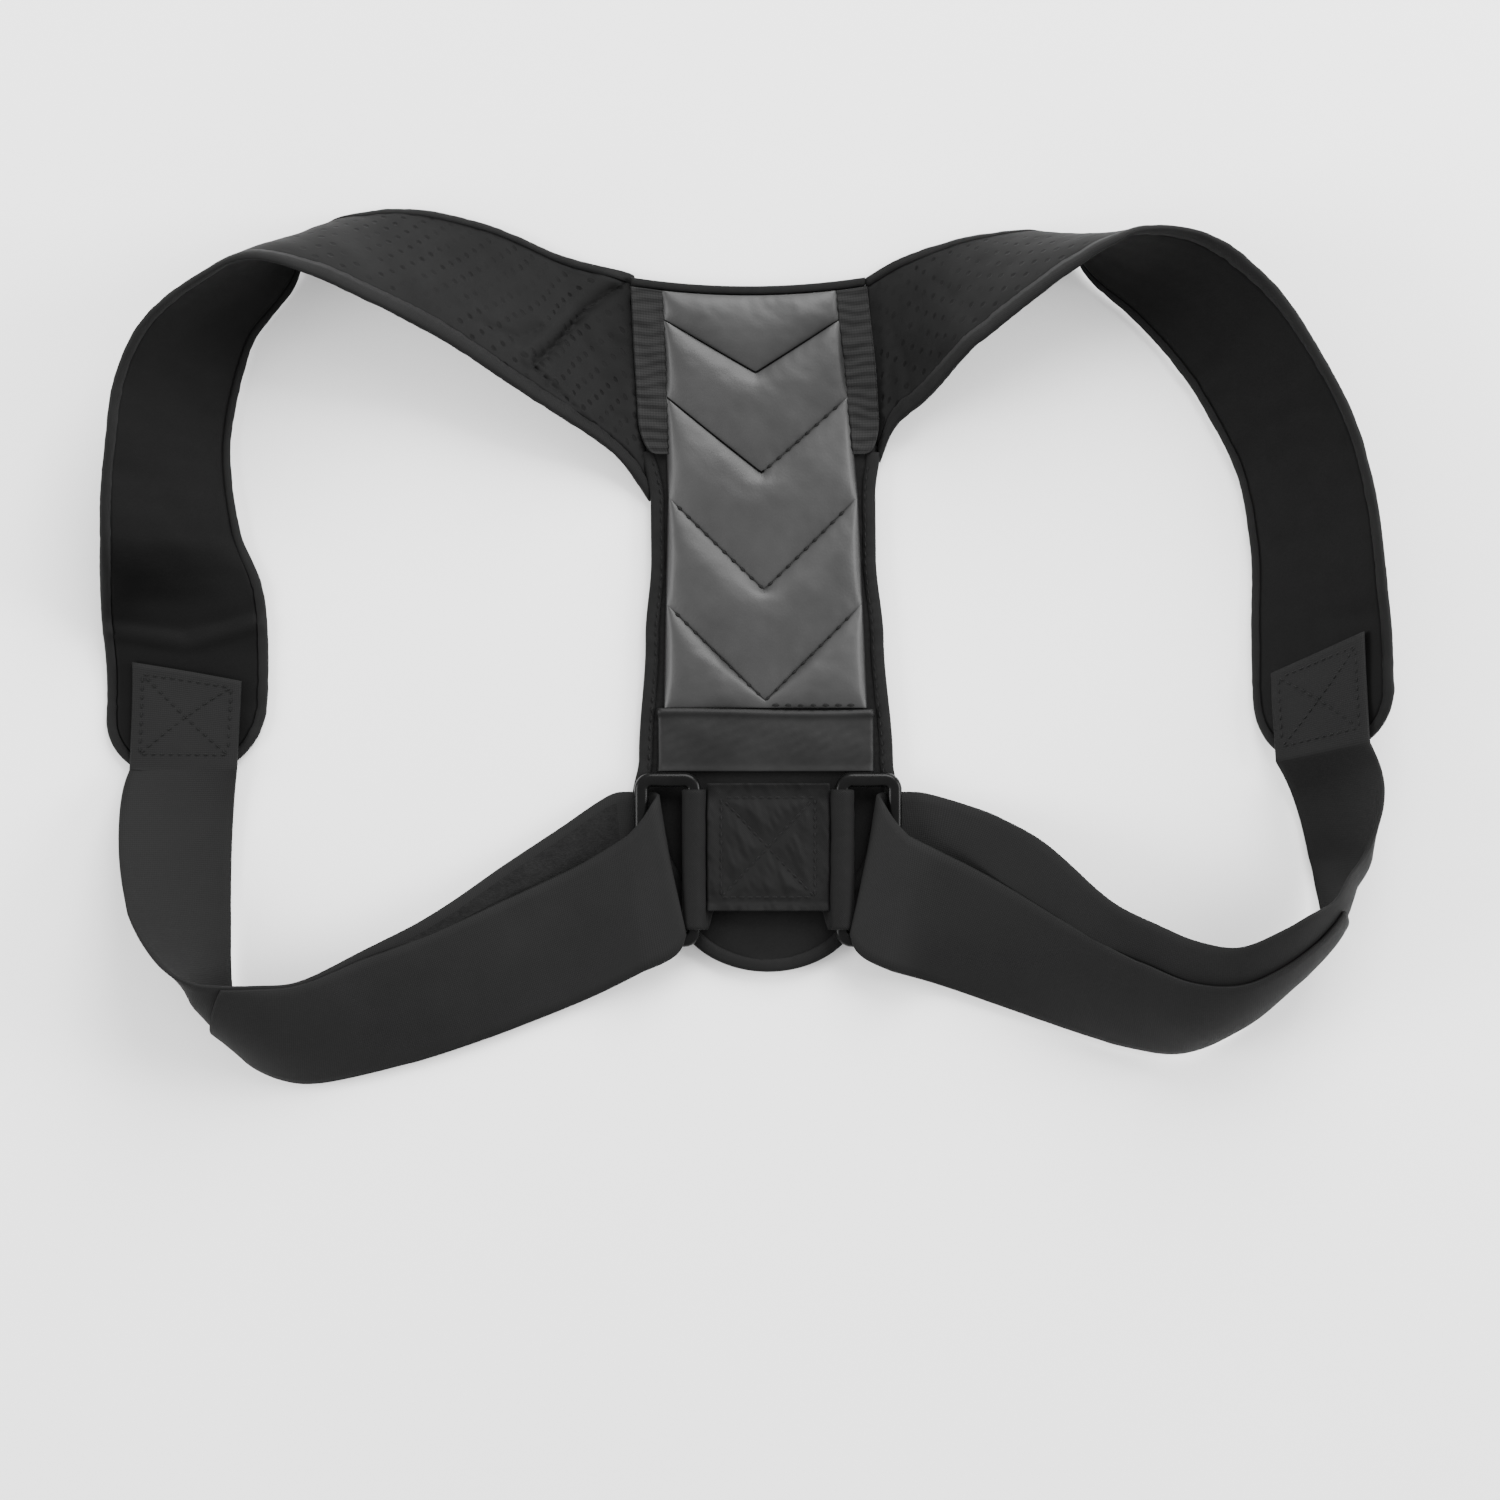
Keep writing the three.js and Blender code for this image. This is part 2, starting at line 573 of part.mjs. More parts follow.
/** A station at any length along a band. */
function stationAt(stations, length) {
  const total = stations[stations.length - 1].length;
  const wanted = THREE.MathUtils.clamp(length, 0, total);
  const after = Math.max(1, stations.findIndex((station) => station.length >= wanted - 1e-9));
  const from = stations[after - 1];
  const to = stations[after];
  const share = (wanted - from.length) / (to.length - from.length);
  return {
    neck: from.neck.clone().lerp(to.neck, share),
    arm: from.arm.clone().lerp(to.arm, share),
    half: mix(from.half, to.half, share),
    shift: mix(from.shift, to.shift, share),
    normal: from.normal.clone().lerp(to.normal, share).normalize(),
    length: wanted,
  };
}

/** The sheet that a shoulder pad and its binding follow, from the panel's side to the pad's end. */
function padStations(side, reach, rows) {
  const neckPanel = panelAt(PAD_START_UP);
  const armPanel = panelAt(CORNER_UP);
  const foot = PANEL_THICKNESS - PAD_THICKNESS / 2 - FIT_GAP;
  const start = {
    neck: new THREE.Vector3(neckPanel.middle + side * neckPanel.half, PAD_START_UP, foot),
    arm: new THREE.Vector3(armPanel.middle + side * armPanel.half, CORNER_UP, foot),
    bulge: 0,
    shift: 0,
  };
  const ends = rows.map((row) => sectionEnds(row, side, reach, PAD_WIDTH, PAD_FOOT));
  return bandStations([start, ...ends], side, STEPS_PER_SECTION);
}

/** How far a pad's rounded end pulls its edges in at a length, for a given inset. */
function endInset(length, total, inset) {
  const radius = PAD_END_RADIUS - inset;
  const past = length - (total - PAD_END_RADIUS);
  if (past <= 0) {
    return inset;
  }
  return inset + radius - Math.sqrt(Math.max(0, radius * radius - past * past));
}

/** Lengths along a pad: every station, then closer steps round its end. */
function padLengths(stations, total, inset) {
  const straight = total - PAD_END_RADIUS;
  const lengths = stations.map((station) => station.length).filter((length) => length < straight - 2);
  const radius = PAD_END_RADIUS - inset;
  const steps = 6;
  for (let i = 0; i <= steps; i++) {
    lengths.push(straight + radius * Math.sin((Math.PI / 2) * (i / steps)));
  }
  return lengths;
}

/** A soft shoulder pad inside its binding. */
function shoulderPad(stations) {
  const total = stations[stations.length - 1].length;
  const inset = PAD_BINDING_WIDTH + SEAM_GAP;
  const grid = padLengths(stations, total, inset).map((length) => {
    const station = stationAt(stations, length);
    const width = station.neck.distanceTo(station.arm);
    const edge = endInset(length, total, inset) / width;
    const row = [];
    for (let j = 0; j <= PAD_DIVISIONS; j++) {
      row.push(pointAcross(station, mix(edge, 1 - edge, j / PAD_DIVISIONS)));
    }
    return row;
  });
  const half = PAD_THICKNESS / 2;
  return thickBody(grid, (j) => {
    const across = (2 * j) / PAD_DIVISIONS - 1;
    return half * mix(1, PAD_EDGE_SHARE, across ** 4);
  });
}

/** The binding round a pad: out along its neck edge, round its end and back by the armhole. */
function padBinding(stations) {
  const total = stations[stations.length - 1].length;
  const lengths = padLengths(stations, total, 0);
  const half = (PAD_THICKNESS * PAD_EDGE_SHARE) / 2 + BINDING_RAISE;
  const places = [];
  lengths.forEach((length) => {
    const past = Math.max(0, length - (total - PAD_END_RADIUS));
    places.push({ length, past, armhole: false });
  });
  [...lengths].reverse().forEach((length) => {
    const past = Math.max(0, length - (total - PAD_END_RADIUS));
    places.push({ length, past, armhole: true });
  });
  const sections = places.map((place) => {
    const slope = place.past / PAD_END_RADIUS;
    const pull = PAD_END_RADIUS * (1 - Math.sqrt(1 - Math.min(1, slope * slope)));
    const turn = Math.asin(Math.min(1, slope));
    const pointAt = (depth, lift) => {
      const length = place.length - depth * Math.sin(turn);
      const station = stationAt(stations, length);
      const width = station.neck.distanceTo(station.arm);
      const inset = (pull + depth * Math.cos(turn)) / width;
      const share = place.armhole ? 1 - inset : inset;
      return pointAcross(station, share).addScaledVector(station.normal, lift);
    };
    return [
      pointAt(0, -half * 0.6), pointAt(0, half * 0.6), pointAt(PAD_BINDING_WIDTH * 0.3, half),
      pointAt(PAD_BINDING_WIDTH, half), pointAt(PAD_BINDING_WIDTH, -half),
      pointAt(PAD_BINDING_WIDTH * 0.3, -half),
    ];
  });
  return loftedBody(sections);
}

/** Rows of points that carry one run of rows smoothly on to the next. */
function bridge(before, after, steps) {
  const rows = [];
  for (let i = 1; i <= steps; i++) {
    rows.push(before[0].map((unused, j) => {
      const line = new THREE.CatmullRomCurve3([
        before[before.length - 2][j], before[before.length - 1][j], after[0][j], after[1][j],
      ], false, "centripetal");
      return line.getPoint(mix(1, 2, i / (steps + 1)) / 3);
    }));
  }
  return rows;
}

/** Points across part of a station, moved along its normal. */
function layerRow(station, from, to, lift) {
  const row = [];
  for (let j = 0; j <= STRAP_DIVISIONS; j++) {
    const share = mix(from, to, j / STRAP_DIVISIONS);
    row.push(pointAcross(station, share).addScaledVector(station.normal, lift));
  }
  return row;
}

/** The rows of the strap's sewn end, on the inner face of its pad. */
function sewnRows(pad) {
  const total = pad[pad.length - 1].length;
  const lift = -(PAD_THICKNESS / 2 + BINDING_RAISE + FIT_GAP + STRAP_THICKNESS / 2);
  const half = (STRAP_WIDTH * SEWN_WIDTH_SHARE) / PAD_WIDTH / 2;
  const steps = 4;
  const rows = [];
  for (let i = 0; i <= steps; i++) {
    const station = stationAt(pad, mix(total - SEWN_LENGTH, total, i / steps));
    rows.push(layerRow(station, 0.5 - half, 0.5 + half, lift));
  }
  return rows;
}

/** Rows round the ring's outer bar, from below it through the ring and back above it. */
function turnRows(side) {
  const bar = panelAt(RING_UP).middle + side * OUTER_BAR_OUT;
  const wrap = RING_BAR_THICKNESS / 2 + FIT_GAP + STRAP_THICKNESS / 2;
  const place = (out, up, level) => new THREE.Vector3(
    bar + side * out * STRAP_WIDTH, RING_UP + up * STRAP_WIDTH, RING_MIDDLE + level * wrap);
  const neckLine = new THREE.CatmullRomCurve3(
    STRAP_TURN.map((row) => place(row.neckOut, row.neckUp, row.level)), false, "centripetal");
  const armLine = new THREE.CatmullRomCurve3(
    STRAP_TURN.map((row) => place(row.armOut, row.armUp, row.level)), false, "centripetal");
  const steps = 4 * (STRAP_TURN.length - 1);
  const rows = [];
  for (let i = 0; i <= steps; i++) {
    const neck = neckLine.getPoint(i / steps);
    const arm = armLine.getPoint(i / steps);
    const row = [];
    for (let j = 0; j <= STRAP_DIVISIONS; j++) {
      row.push(neck.clone().lerp(arm, j / STRAP_DIVISIONS));
    }
    rows.push(row);
  }
  return rows;
}

/** One whole elastic strap: sewn end, way round, turn through the ring and folded layer. */
function elasticStrap(side, reach, pad, rows, foldedFrom) {
  const ends = rows.map((row) => sectionEnds(row, side, reach, STRAP_WIDTH, STRAP_FOOT));
  const stations = bandStations(ends, side, STRAP_STEPS);
  const lowerLayer = stations.map((station) =>
    layerRow(station, station.shift / (1 + station.shift), 1, -LAYER_OFFSET));
  const upperLayer = stations.slice(foldedFrom * STRAP_STEPS).map((station) =>
    layerRow(station, 0, 1 / (1 + station.shift), LAYER_OFFSET)).reverse();
  const sewn = sewnRows(pad);
  const turn = turnRows(side);
  const grid = [
    ...sewn,
    ...bridge(sewn, lowerLayer, BRIDGE_STEPS),
    ...lowerLayer,
    ...bridge(lowerLayer, turn, BRIDGE_STEPS),
    ...turn,
    ...bridge(turn, upperLayer, BRIDGE_STEPS),
    ...upperLayer,
  ];
  return thickBody(grid, () => STRAP_THICKNESS / 2);
}

/** A rectangular ring with rounded corners and rounded bars. */
function ring(side) {
  const middle = panelAt(RING_UP).middle + side * (INNER_BAR_OUT + OUTER_BAR_OUT) / 2;
  const halfWidth = (RING_OPENING_WIDTH + RING_BAR_WIDTH) / 2;
  const halfLength = (RING_OPENING_LENGTH + RING_BAR_WIDTH) / 2;
  const corners = [
    { x: 1, y: 1, from: 0 }, { x: -1, y: 1, from: 90 }, { x: -1, y: -1, from: 180 }, { x: 1, y: -1, from: 270 },
  ];
  const cornerSteps = 4;
  const sides = 10;
  const sections = [];
  corners.forEach((corner) => {
    for (let i = 0; i <= cornerSteps; i++) {
      const angle = THREE.MathUtils.degToRad(corner.from + (90 * i) / cornerSteps);
      const x = middle + corner.x * (halfWidth - RING_CORNER_RADIUS) + RING_CORNER_RADIUS * Math.cos(angle);
      const y = RING_UP + corner.y * (halfLength - RING_CORNER_RADIUS) + RING_CORNER_RADIUS * Math.sin(angle);
      const section = [];
      for (let j = 0; j < sides; j++) {
        const around = (2 * Math.PI * j) / sides;
        const away = (RING_BAR_WIDTH / 2) * Math.cos(around);
        section.push(new THREE.Vector3(
          x + away * Math.cos(angle), y + away * Math.sin(angle),
          RING_MIDDLE + (RING_BAR_THICKNESS / 2) * Math.sin(around)));
      }
      sections.push(section);
    }
  });
  return loftedBody(sections, true);
}

/** The folded webbing that holds a ring's inner bar, with both its ends under the square. */
function ringLoop(side) {
  const middle = panelAt(RING_UP).middle;
  const lowFace = DECK + LOOP_THICKNESS / 2;
  const highFace = lowFace + LOOP_THICKNESS + FIT_GAP;
  const wrapOut = RING_BAR_WIDTH / 2 + FIT_GAP + LOOP_THICKNESS / 2;
  const wrapUp = RING_BAR_THICKNESS / 2 + FIT_GAP + LOOP_THICKNESS / 2;
  const path = [
    [FIT_GAP, lowFace],
    [TAB_HALF * 0.8, lowFace],
  ];
  const steps = 12;
  for (let i = 0; i <= steps; i++) {
    const angle = mix(-Math.PI / 2, Math.PI, i / steps);
    path.push([INNER_BAR_OUT + wrapOut * Math.cos(angle), RING_MIDDLE + wrapUp * Math.sin(angle)]);
  }
  const drop = RING_MIDDLE - highFace;
  path.push([INNER_BAR_OUT - wrapOut - 0.15 * drop, highFace + 0.3 * drop]);
  path.push([INNER_BAR_OUT - wrapOut - 0.6 * drop, highFace]);
  path.push([FIT_GAP, highFace]);
  const grid = path.map(([out, z]) => [-0.5, 0.5].map((share) =>
    new THREE.Vector3(middle + side * out, RING_UP + share * LOOP_WIDTH, z)));
  return thickBody(grid, () => LOOP_THICKNESS / 2);
}

/** The stitched square of webbing over the ends of both folded loops. */
function ringTab() {
  const base = DECK + 2 * (LOOP_THICKNESS + FIT_GAP);
  const geometry = new THREE.BoxGeometry(TAB_WIDTH, TAB_LENGTH, TAB_THICKNESS);
  geometry.translate(panelAt(RING_UP).middle, RING_UP + TAB_RAISE, base + TAB_THICKNESS / 2);
  return geometry;
}

const LEATHER = 0x2c2d2f;
const FABRIC = 0x1d1d1e;
const PADDING = 0x18181a;
const WEBBING = 0x222223;
const BINDING = 0x1a1a1b;
const PLASTIC = 0x101012;

/** The whole brace, with its origin under the middle of its outline. */
function brace() {
  const group = new THREE.Group();
  group.add(piece("back_pad", backPad(), FABRIC, 0.95));
  group.add(piece("spine_cover", spineCover(), LEATHER, 0.45));
  group.add(piece("pocket_band", pocketBand(), LEATHER, 0.55));
  group.add(piece("top_binding", topBinding(), BINDING, 0.85));
  group.add(piece("lower_binding", lowerBinding(), BINDING, 0.85));
  group.add(piece("ring_tab", ringTab(), WEBBING, 0.9));
  const loops = [
    {
      name: "left", side: -1, reach: LEFT_REACH, foldedFrom: 5,
      padRows: LEFT_PAD_SECTIONS, strapRows: LEFT_STRAP_SECTIONS,
    },
    {
      name: "right", side: 1, reach: RIGHT_REACH, foldedFrom: 4,
      padRows: RIGHT_PAD_SECTIONS, strapRows: RIGHT_STRAP_SECTIONS,
    },
  ];
  for (const { name, side, reach, foldedFrom, padRows, strapRows } of loops) {
    const pad = padStations(side, reach, padRows);
    group.add(piece(`${name}_side_tape`, sideTape(side), FABRIC, 0.9));
    group.add(piece(`${name}_shoulder_pad`, shoulderPad(pad), PADDING, 0.95));
    group.add(piece(`${name}_pad_binding`, padBinding(pad), BINDING, 0.85));
    group.add(piece(`${name}_elastic_strap`, elasticStrap(side, reach, pad, strapRows, foldedFrom), WEBBING, 0.9));
    group.add(piece(`${name}_ring`, ring(side), PLASTIC, 0.2));
    group.add(piece(`${name}_ring_loop`, ringLoop(side), WEBBING, 0.9));
  }
  const box = new THREE.Box3().setFromObject(group);
  group.position.set(-(box.min.x + box.max.x) / 2, -(box.min.y + box.max.y) / 2, -box.min.z);
  return group;
}

export default brace();
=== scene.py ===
"""Looks of a back and shoulder brace that lies with the outer face of its spine panel up.

Lengths are millimetres in the brace's own frame, X across the panel, Y up the spine from the
tongue's tip and Z up from the surface, until a mesh is made, which is in metres.
"""
import logging
import math
from dataclasses import dataclass, field
from enum import Enum
from typing import Optional, Sequence

import bpy
import numpy as np
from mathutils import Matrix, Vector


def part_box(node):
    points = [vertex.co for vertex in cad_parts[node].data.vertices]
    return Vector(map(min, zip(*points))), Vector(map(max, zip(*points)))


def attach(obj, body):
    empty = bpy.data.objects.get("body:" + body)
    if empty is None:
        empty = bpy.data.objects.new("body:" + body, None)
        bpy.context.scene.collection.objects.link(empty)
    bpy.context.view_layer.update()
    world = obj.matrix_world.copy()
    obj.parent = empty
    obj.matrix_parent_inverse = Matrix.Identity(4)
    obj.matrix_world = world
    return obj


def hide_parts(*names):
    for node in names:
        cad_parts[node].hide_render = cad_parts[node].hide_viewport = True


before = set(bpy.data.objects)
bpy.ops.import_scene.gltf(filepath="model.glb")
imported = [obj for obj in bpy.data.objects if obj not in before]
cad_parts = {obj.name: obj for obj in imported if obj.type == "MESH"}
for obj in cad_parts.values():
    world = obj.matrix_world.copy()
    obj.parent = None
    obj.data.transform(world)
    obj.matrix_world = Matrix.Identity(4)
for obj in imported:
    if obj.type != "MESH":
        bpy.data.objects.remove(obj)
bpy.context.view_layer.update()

LOG = logging.getLogger("brace")
Array = np.ndarray
Faces = list[tuple[int, ...]]
Material = bpy.types.Material
Piece = bpy.types.Object
Socket = bpy.types.NodeSocket


class Side(Enum):
    """The loop's side of the panel as the picture shows it."""

    LEFT = -1
    RIGHT = 1

    @property
    def word(self) -> str:
        """The side's word in node names."""
        return self.name.lower()


class Grain(Enum):
    """How a cloth's yarns lie."""

    WEAVE = "weave"
    RIB = "rib"
    PILE = "pile"
    KNIT = "knit"


# Finishes


class NodeSheet:
    """A material's node tree with short helpers for making and linking its nodes."""

    def __init__(self, name: str) -> None:
        """Makes an empty material.

        Args:
            name: the material's name.
        """
        self.material = bpy.data.materials.new(name)
        self.material.use_nodes = True
        self.tree = self.material.node_tree
        self.shader = self.tree.nodes["Principled BSDF"]

    def node(self, kind: str, **values: object) -> bpy.types.Node:
        """Adds a node.

        Args:
            kind: the node's type.
            **values: settings of the node, or default values of its inputs.

        Returns:
            The new node.
        """
        made = self.tree.nodes.new(kind)
        for key, value in values.items():
            if hasattr(made, key):
                setattr(made, key, value)
            else:
                made.inputs[key.replace("_", " ").title()].default_value = value
        return made

    def link(self, source: Socket, target: Socket) -> None:
        """Links two sockets."""
        self.tree.links.new(source, target)

    def math(self, operation: str, first: object, second: object = 0.0) -> Socket:
        """Adds a maths node.

        Args:
            operation: the node's operation.
            first: a socket or a number.
            second: a socket or a number.

        Returns:
            The node's output socket.
        """
        made = self.tree.nodes.new("ShaderNodeMath")
        made.operation = operation
        for slot, value in zip(made.inputs, (first, second)):
            if isinstance(value, Socket):
                self.link(value, slot)
            else:
                slot.default_value = value
        return made.outputs[0]

    def strip(self) -> tuple[Socket, Socket]:
        """The mesh's own coordinates.

        Returns:
            Sockets for mm across and mm along the piece.
        """
        uv = self.tree.nodes.new("ShaderNodeUVMap")
        uv.uv_map = "strip"
        parts = self.tree.nodes.new("ShaderNodeSeparateXYZ")
        self.link(uv.outputs[0], parts.inputs[0])
        return parts.outputs[0], parts.outputs[1]

    def noise(self, scale: float, detail: float = 3.0, roughness: float = 0.6) -> Socket:
        """Noise over the object's own metres.

        Args:
            scale: how fine the noise is.
            detail: its number of finer layers.
            roughness: how strong the finer layers are.

        Returns:
            The noise's value socket.
        """
        place = self.tree.nodes.new("ShaderNodeTexCoord")
        made = self.node("ShaderNodeTexNoise", scale=scale, detail=detail, roughness=roughness)
        self.link(place.outputs["Object"], made.inputs["Vector"])
        return made.outputs[0]

    def blended(self, value: Socket, dark: Sequence[float], light: Sequence[float],
                low: float = 0.35, high: float = 0.65) -> Socket:
        """Turns a value into a colour between two.

        Args:
            value: the socket that drives the colour.
            dark: the colour at and below `low`.
            light: the colour at and above `high`.
            low: the value that gives the dark colour.
            high: the value that gives the light colour.

        Returns:
            The colour socket.
        """
        ramp = self.tree.nodes.new("ShaderNodeValToRGB")
        ramp.color_ramp.elements[0].position = low
        ramp.color_ramp.elements[0].color = (*dark, 1.0)
        ramp.color_ramp.elements[1].position = high
        ramp.color_ramp.elements[1].color = (*light, 1.0)
        self.link(value, ramp.inputs[0])
        return ramp.outputs[0]

    def bump(self, height: Socket, distance_mm: float, strength: float = 1.0,
             under: Optional[Socket] = None) -> Socket:
        """Adds a bump.

        Args:
            height: the height from 0 to 1.
            distance_mm: what a height of 1 stands for.
            strength: how much of the bump shows.
            under: the normal of a coarser bump below this one.

        Returns:
            The bumped normal's socket.
        """
        made = self.node("ShaderNodeBump", strength=strength, distance=distance_mm / 1000)
        self.link(height, made.inputs["Height"])
        if under is not None:
            self.link(under, made.inputs["Normal"])
        return made.outputs[0]

    def rough(self, value: Socket, low: float, high: float) -> None:
        """Spreads a value over a range of roughness."""
        spread = self.math("MULTIPLY", value, high - low)
        self.link(self.math("ADD", spread, low), self.shader.inputs["Roughness"])

    def eased(self, value: Socket, low: float, high: float) -> Socket:
        """Eases a value from 0 at one level to 1 at another.

        Args:
            value: the socket that is eased.
            low: the level that gives 0.
            high: the level that gives 1.

        Returns:
            The eased value's socket.
        """
        made = self.node("ShaderNodeMapRange", interpolation_type="SMOOTHSTEP")
        made.inputs["From Min"].default_value = low
        made.inputs["From Max"].default_value = high
        self.link(value, made.inputs["Value"])
        return made.outputs[0]

    def finished(self, colour: Socket, normal: Socket,
                 specular: float) -> Material:
        """Gives the shader its colour, normal and specular level.

        Args:
            colour: the base colour.
            normal: the bumped normal.
            specular: the specular level.

        Returns:
            The finished material.
        """
        self.link(colour, self.shader.inputs["Base Color"])
        self.link(normal, self.shader.inputs["Normal"])
        self.shader.inputs["Specular IOR Level"].default_value = specular
        return self.material


def grey(level: float, warmth: float = 0.0) -> tuple[float, float, float]:
    """A near-neutral colour of a given level."""
    return (level * (1 + warmth), level, level * (1 - warmth))


@dataclass(frozen=True)
class LeatherFinish:
    """Satin artificial leather with a fine grain."""

    name: str
    dark: float = 0.011
    light: float = 0.0165
    smooth: float = 0.44
    worn: float = 0.58
    grain_mm: float = 0.05
    specular: float = 0.4
    cloud_scale: float = 38
    grain_scale: float = 900
    dent_scale: float = 150
    dent_mm: float = 0.25

    def build(self) -> Material:
        """Makes the leather's material.

        Returns:
            The new material.
        """
        sheet = NodeSheet(self.name)
        cloud = sheet.noise(self.cloud_scale, 4)
        grain = sheet.node("ShaderNodeTexVoronoi", feature="SMOOTH_F1", scale=self.grain_scale)
        place = sheet.tree.nodes.new("ShaderNodeTexCoord")
        sheet.link(place.outputs["Object"], grain.inputs["Vector"])
        sheet.rough(cloud, self.smooth, self.worn)
        dents = sheet.bump(sheet.noise(self.dent_scale), self.dent_mm, 0.35)
        normal = sheet.bump(grain.outputs[0], self.grain_mm, 0.5, dents)
        return sheet.finished(sheet.blended(cloud, grey(self.dark), grey(self.light)), normal, self.specular)


@dataclass(frozen=True)
class ClothFinish:
    """A woven, ribbed, knitted or looped cloth, with its yarns along the piece's own strip."""

    name: str
    grain: Grain
    dark: float
    light: float
    pitch_mm: float = 0.9
    relief_mm: float = 0.12
    roughness: float = 0.8
    sheen: float = 0.03
    specular: float = 0.14
    cloud_scale: float = 60
    fibre_scale: float = 1400
    fibre_mm: float = 0.05
    knit_scale: float = 1100
    pile_scale: float = 420
    relief_share: float = 0.45
    cloud_share: float = 0.55
    rough_spread: float = 0.08
    sheen_roughness: float = 0.45

    def build(self) -> Material:
        """Makes the cloth's material.

        Returns:
            The new material.
        """
        sheet = NodeSheet(self.name)
        cloud = sheet.noise(self.cloud_scale, 4)
        fibre = sheet.noise(self.fibre_scale, 2, 0.7)
        height = self._height(sheet)
        tone = sheet.math("ADD", sheet.math("MULTIPLY", height, self.relief_share),
                          sheet.math("MULTIPLY", cloud, self.cloud_share))
        colour = sheet.blended(tone, grey(self.dark), grey(self.light), 0.25, 0.8)
        sheet.rough(cloud, self.roughness - self.rough_spread, self.roughness + self.rough_spread)
        normal = sheet.bump(fibre, self.fibre_mm, 0.4, sheet.bump(height, self.relief_mm, 0.8))
        sheet.shader.inputs["Sheen Weight"].default_value = self.sheen
        sheet.shader.inputs["Sheen Roughness"].default_value = self.sheen_roughness
        return sheet.finished(colour, normal, self.specular)

    def _height(self, sheet: NodeSheet) -> Socket:
        """The cloth's relief.

        Args:
            sheet: the material's node tree.

        Returns:
            A height from about 0 to 1.
        """
        across, along = sheet.strip()
        turn = 2 * math.pi / self.pitch_mm
        wave_across = sheet.math("SINE", sheet.math("MULTIPLY", across, turn))
        wave_along = sheet.math("SINE", sheet.math("MULTIPLY", along, turn))
        if self.grain is Grain.RIB:
            fine = sheet.math("MULTIPLY", wave_across, 0.25)
            return sheet.math("ADD", sheet.math("MULTIPLY", wave_along, 0.35), sheet.math("ADD", fine, 0.5))
        if self.grain is Grain.WEAVE:
            cross = sheet.math("MULTIPLY", wave_across, wave_along)
            return sheet.math("ADD", sheet.math("MULTIPLY", cross, 0.5), 0.5)
        if self.grain is Grain.KNIT:
            return sheet.noise(self.knit_scale, 2, 0.8)
        return sheet.noise(self.pile_scale, 3, 0.8)


@dataclass(frozen=True)
class PerforatedFinish:
    """A smooth knitted cover with rows of small punched holes."""

    name: str
    dark: float = 0.0024
    light: float = 0.0048
    pitch_mm: float = 9.0
    hole_mm: float = 0.95
    hole_level: float = 0.0006
    rim: tuple[float, float] = (0.55, 1.5)
    worn_range: tuple[float, float] = (0.4, 0.62)
    worn_share: float = 0.85
    smooth: float = 0.64
    rough: float = 0.8
    dent_mm: float = 0.3
    knit_mm: float = 0.08
    specular: float = 0.1
    cloud_scale: float = 45
    worn_scale: float = 55
    knit_scale: float = 900

    def build(self) -> Material:
        """Makes the perforated cloth's material.

        Returns:
            The new material.
        """
        sheet = NodeSheet(self.name)
        hole = sheet.eased(self._away(sheet), self.hole_mm * self.rim[0], self.hole_mm * self.rim[1])
        cloud = sheet.noise(self.cloud_scale, 4)
        knit = sheet.noise(self.knit_scale, 2, 0.8)
        worn = sheet.eased(sheet.noise(self.worn_scale, 2), *self.worn_range)
        cloth = sheet.math("MAXIMUM", hole, sheet.math("MULTIPLY", worn, self.worn_share))
        mixed = sheet.node("ShaderNodeMix", data_type="RGBA")
        share, hole_colour, cloth_colour = (mixed.inputs[place] for place in (0, 6, 7))
        sheet.link(cloth, share)
        hole_colour.default_value = (*grey(self.hole_level), 1.0)
        sheet.link(sheet.blended(cloud, grey(self.dark), grey(self.light)), cloth_colour)
        sheet.rough(cloud, self.smooth, self.rough)
        normal = sheet.bump(knit, self.knit_mm, 0.5, sheet.bump(cloth, self.dent_mm, 0.8))
        return sheet.finished(mixed.outputs[2], normal, self.specular)

    def _away(self, sheet: NodeSheet) -> Socket:
        """The distance to the nearest hole, in rows that are staggered by half a pitch.

        Args:
            sheet: the material's node tree.

        Returns:
            The distance in mm.
        """
        across, along = sheet.strip()
        step = self.pitch_mm * 0.5
        row = sheet.math("FLOOR", sheet.math("DIVIDE", along, step))
        stagger = sheet.math("MULTIPLY", sheet.math("MODULO", sheet.math("ABSOLUTE", row), 2.0), 0.5)
        column = sheet.math("ADD", sheet.math("DIVIDE", across, self.pitch_mm), stagger)
        off_column = sheet.math("SUBTRACT", sheet.math("FRACT", column), 0.5)
        off_row = sheet.math("SUBTRACT", sheet.math("FRACT", sheet.math("DIVIDE", along, step)), 0.5)
        near_across = sheet.math("POWER", sheet.math("MULTIPLY", off_column, self.pitch_mm), 2.0)
        near_along = sheet.math("POWER", sheet.math("MULTIPLY", off_row, step), 2.0)
        return sheet.math("SQRT", sheet.math("ADD", near_across, near_along))


@dataclass(frozen=True)
class PlasticFinish:
    """Glossy moulded plastic with faint ripples."""

    name: str
    dark: float = 0.002
    light: float = 0.003
    smooth: float = 0.2
    rough: float = 0.36
    specular: float = 0.1
    cloud_scale: float = 60
    gloss_scale: float = 500
    ripple_scale: float = 120
    ripple_mm: float = 0.08

    def build(self) -> Material:
        """Makes the plastic's material.

        Returns:
            The new material.
        """
        sheet = NodeSheet(self.name)
        colour = sheet.blended(sheet.noise(self.cloud_scale, 2), grey(self.dark), grey(self.light))
        sheet.rough(sheet.noise(self.gloss_scale), self.smooth, self.rough)
        normal = sheet.bump(sheet.noise(self.ripple_scale, 2), self.ripple_mm, 0.3)
        return sheet.finished(colour, normal, self.specular)


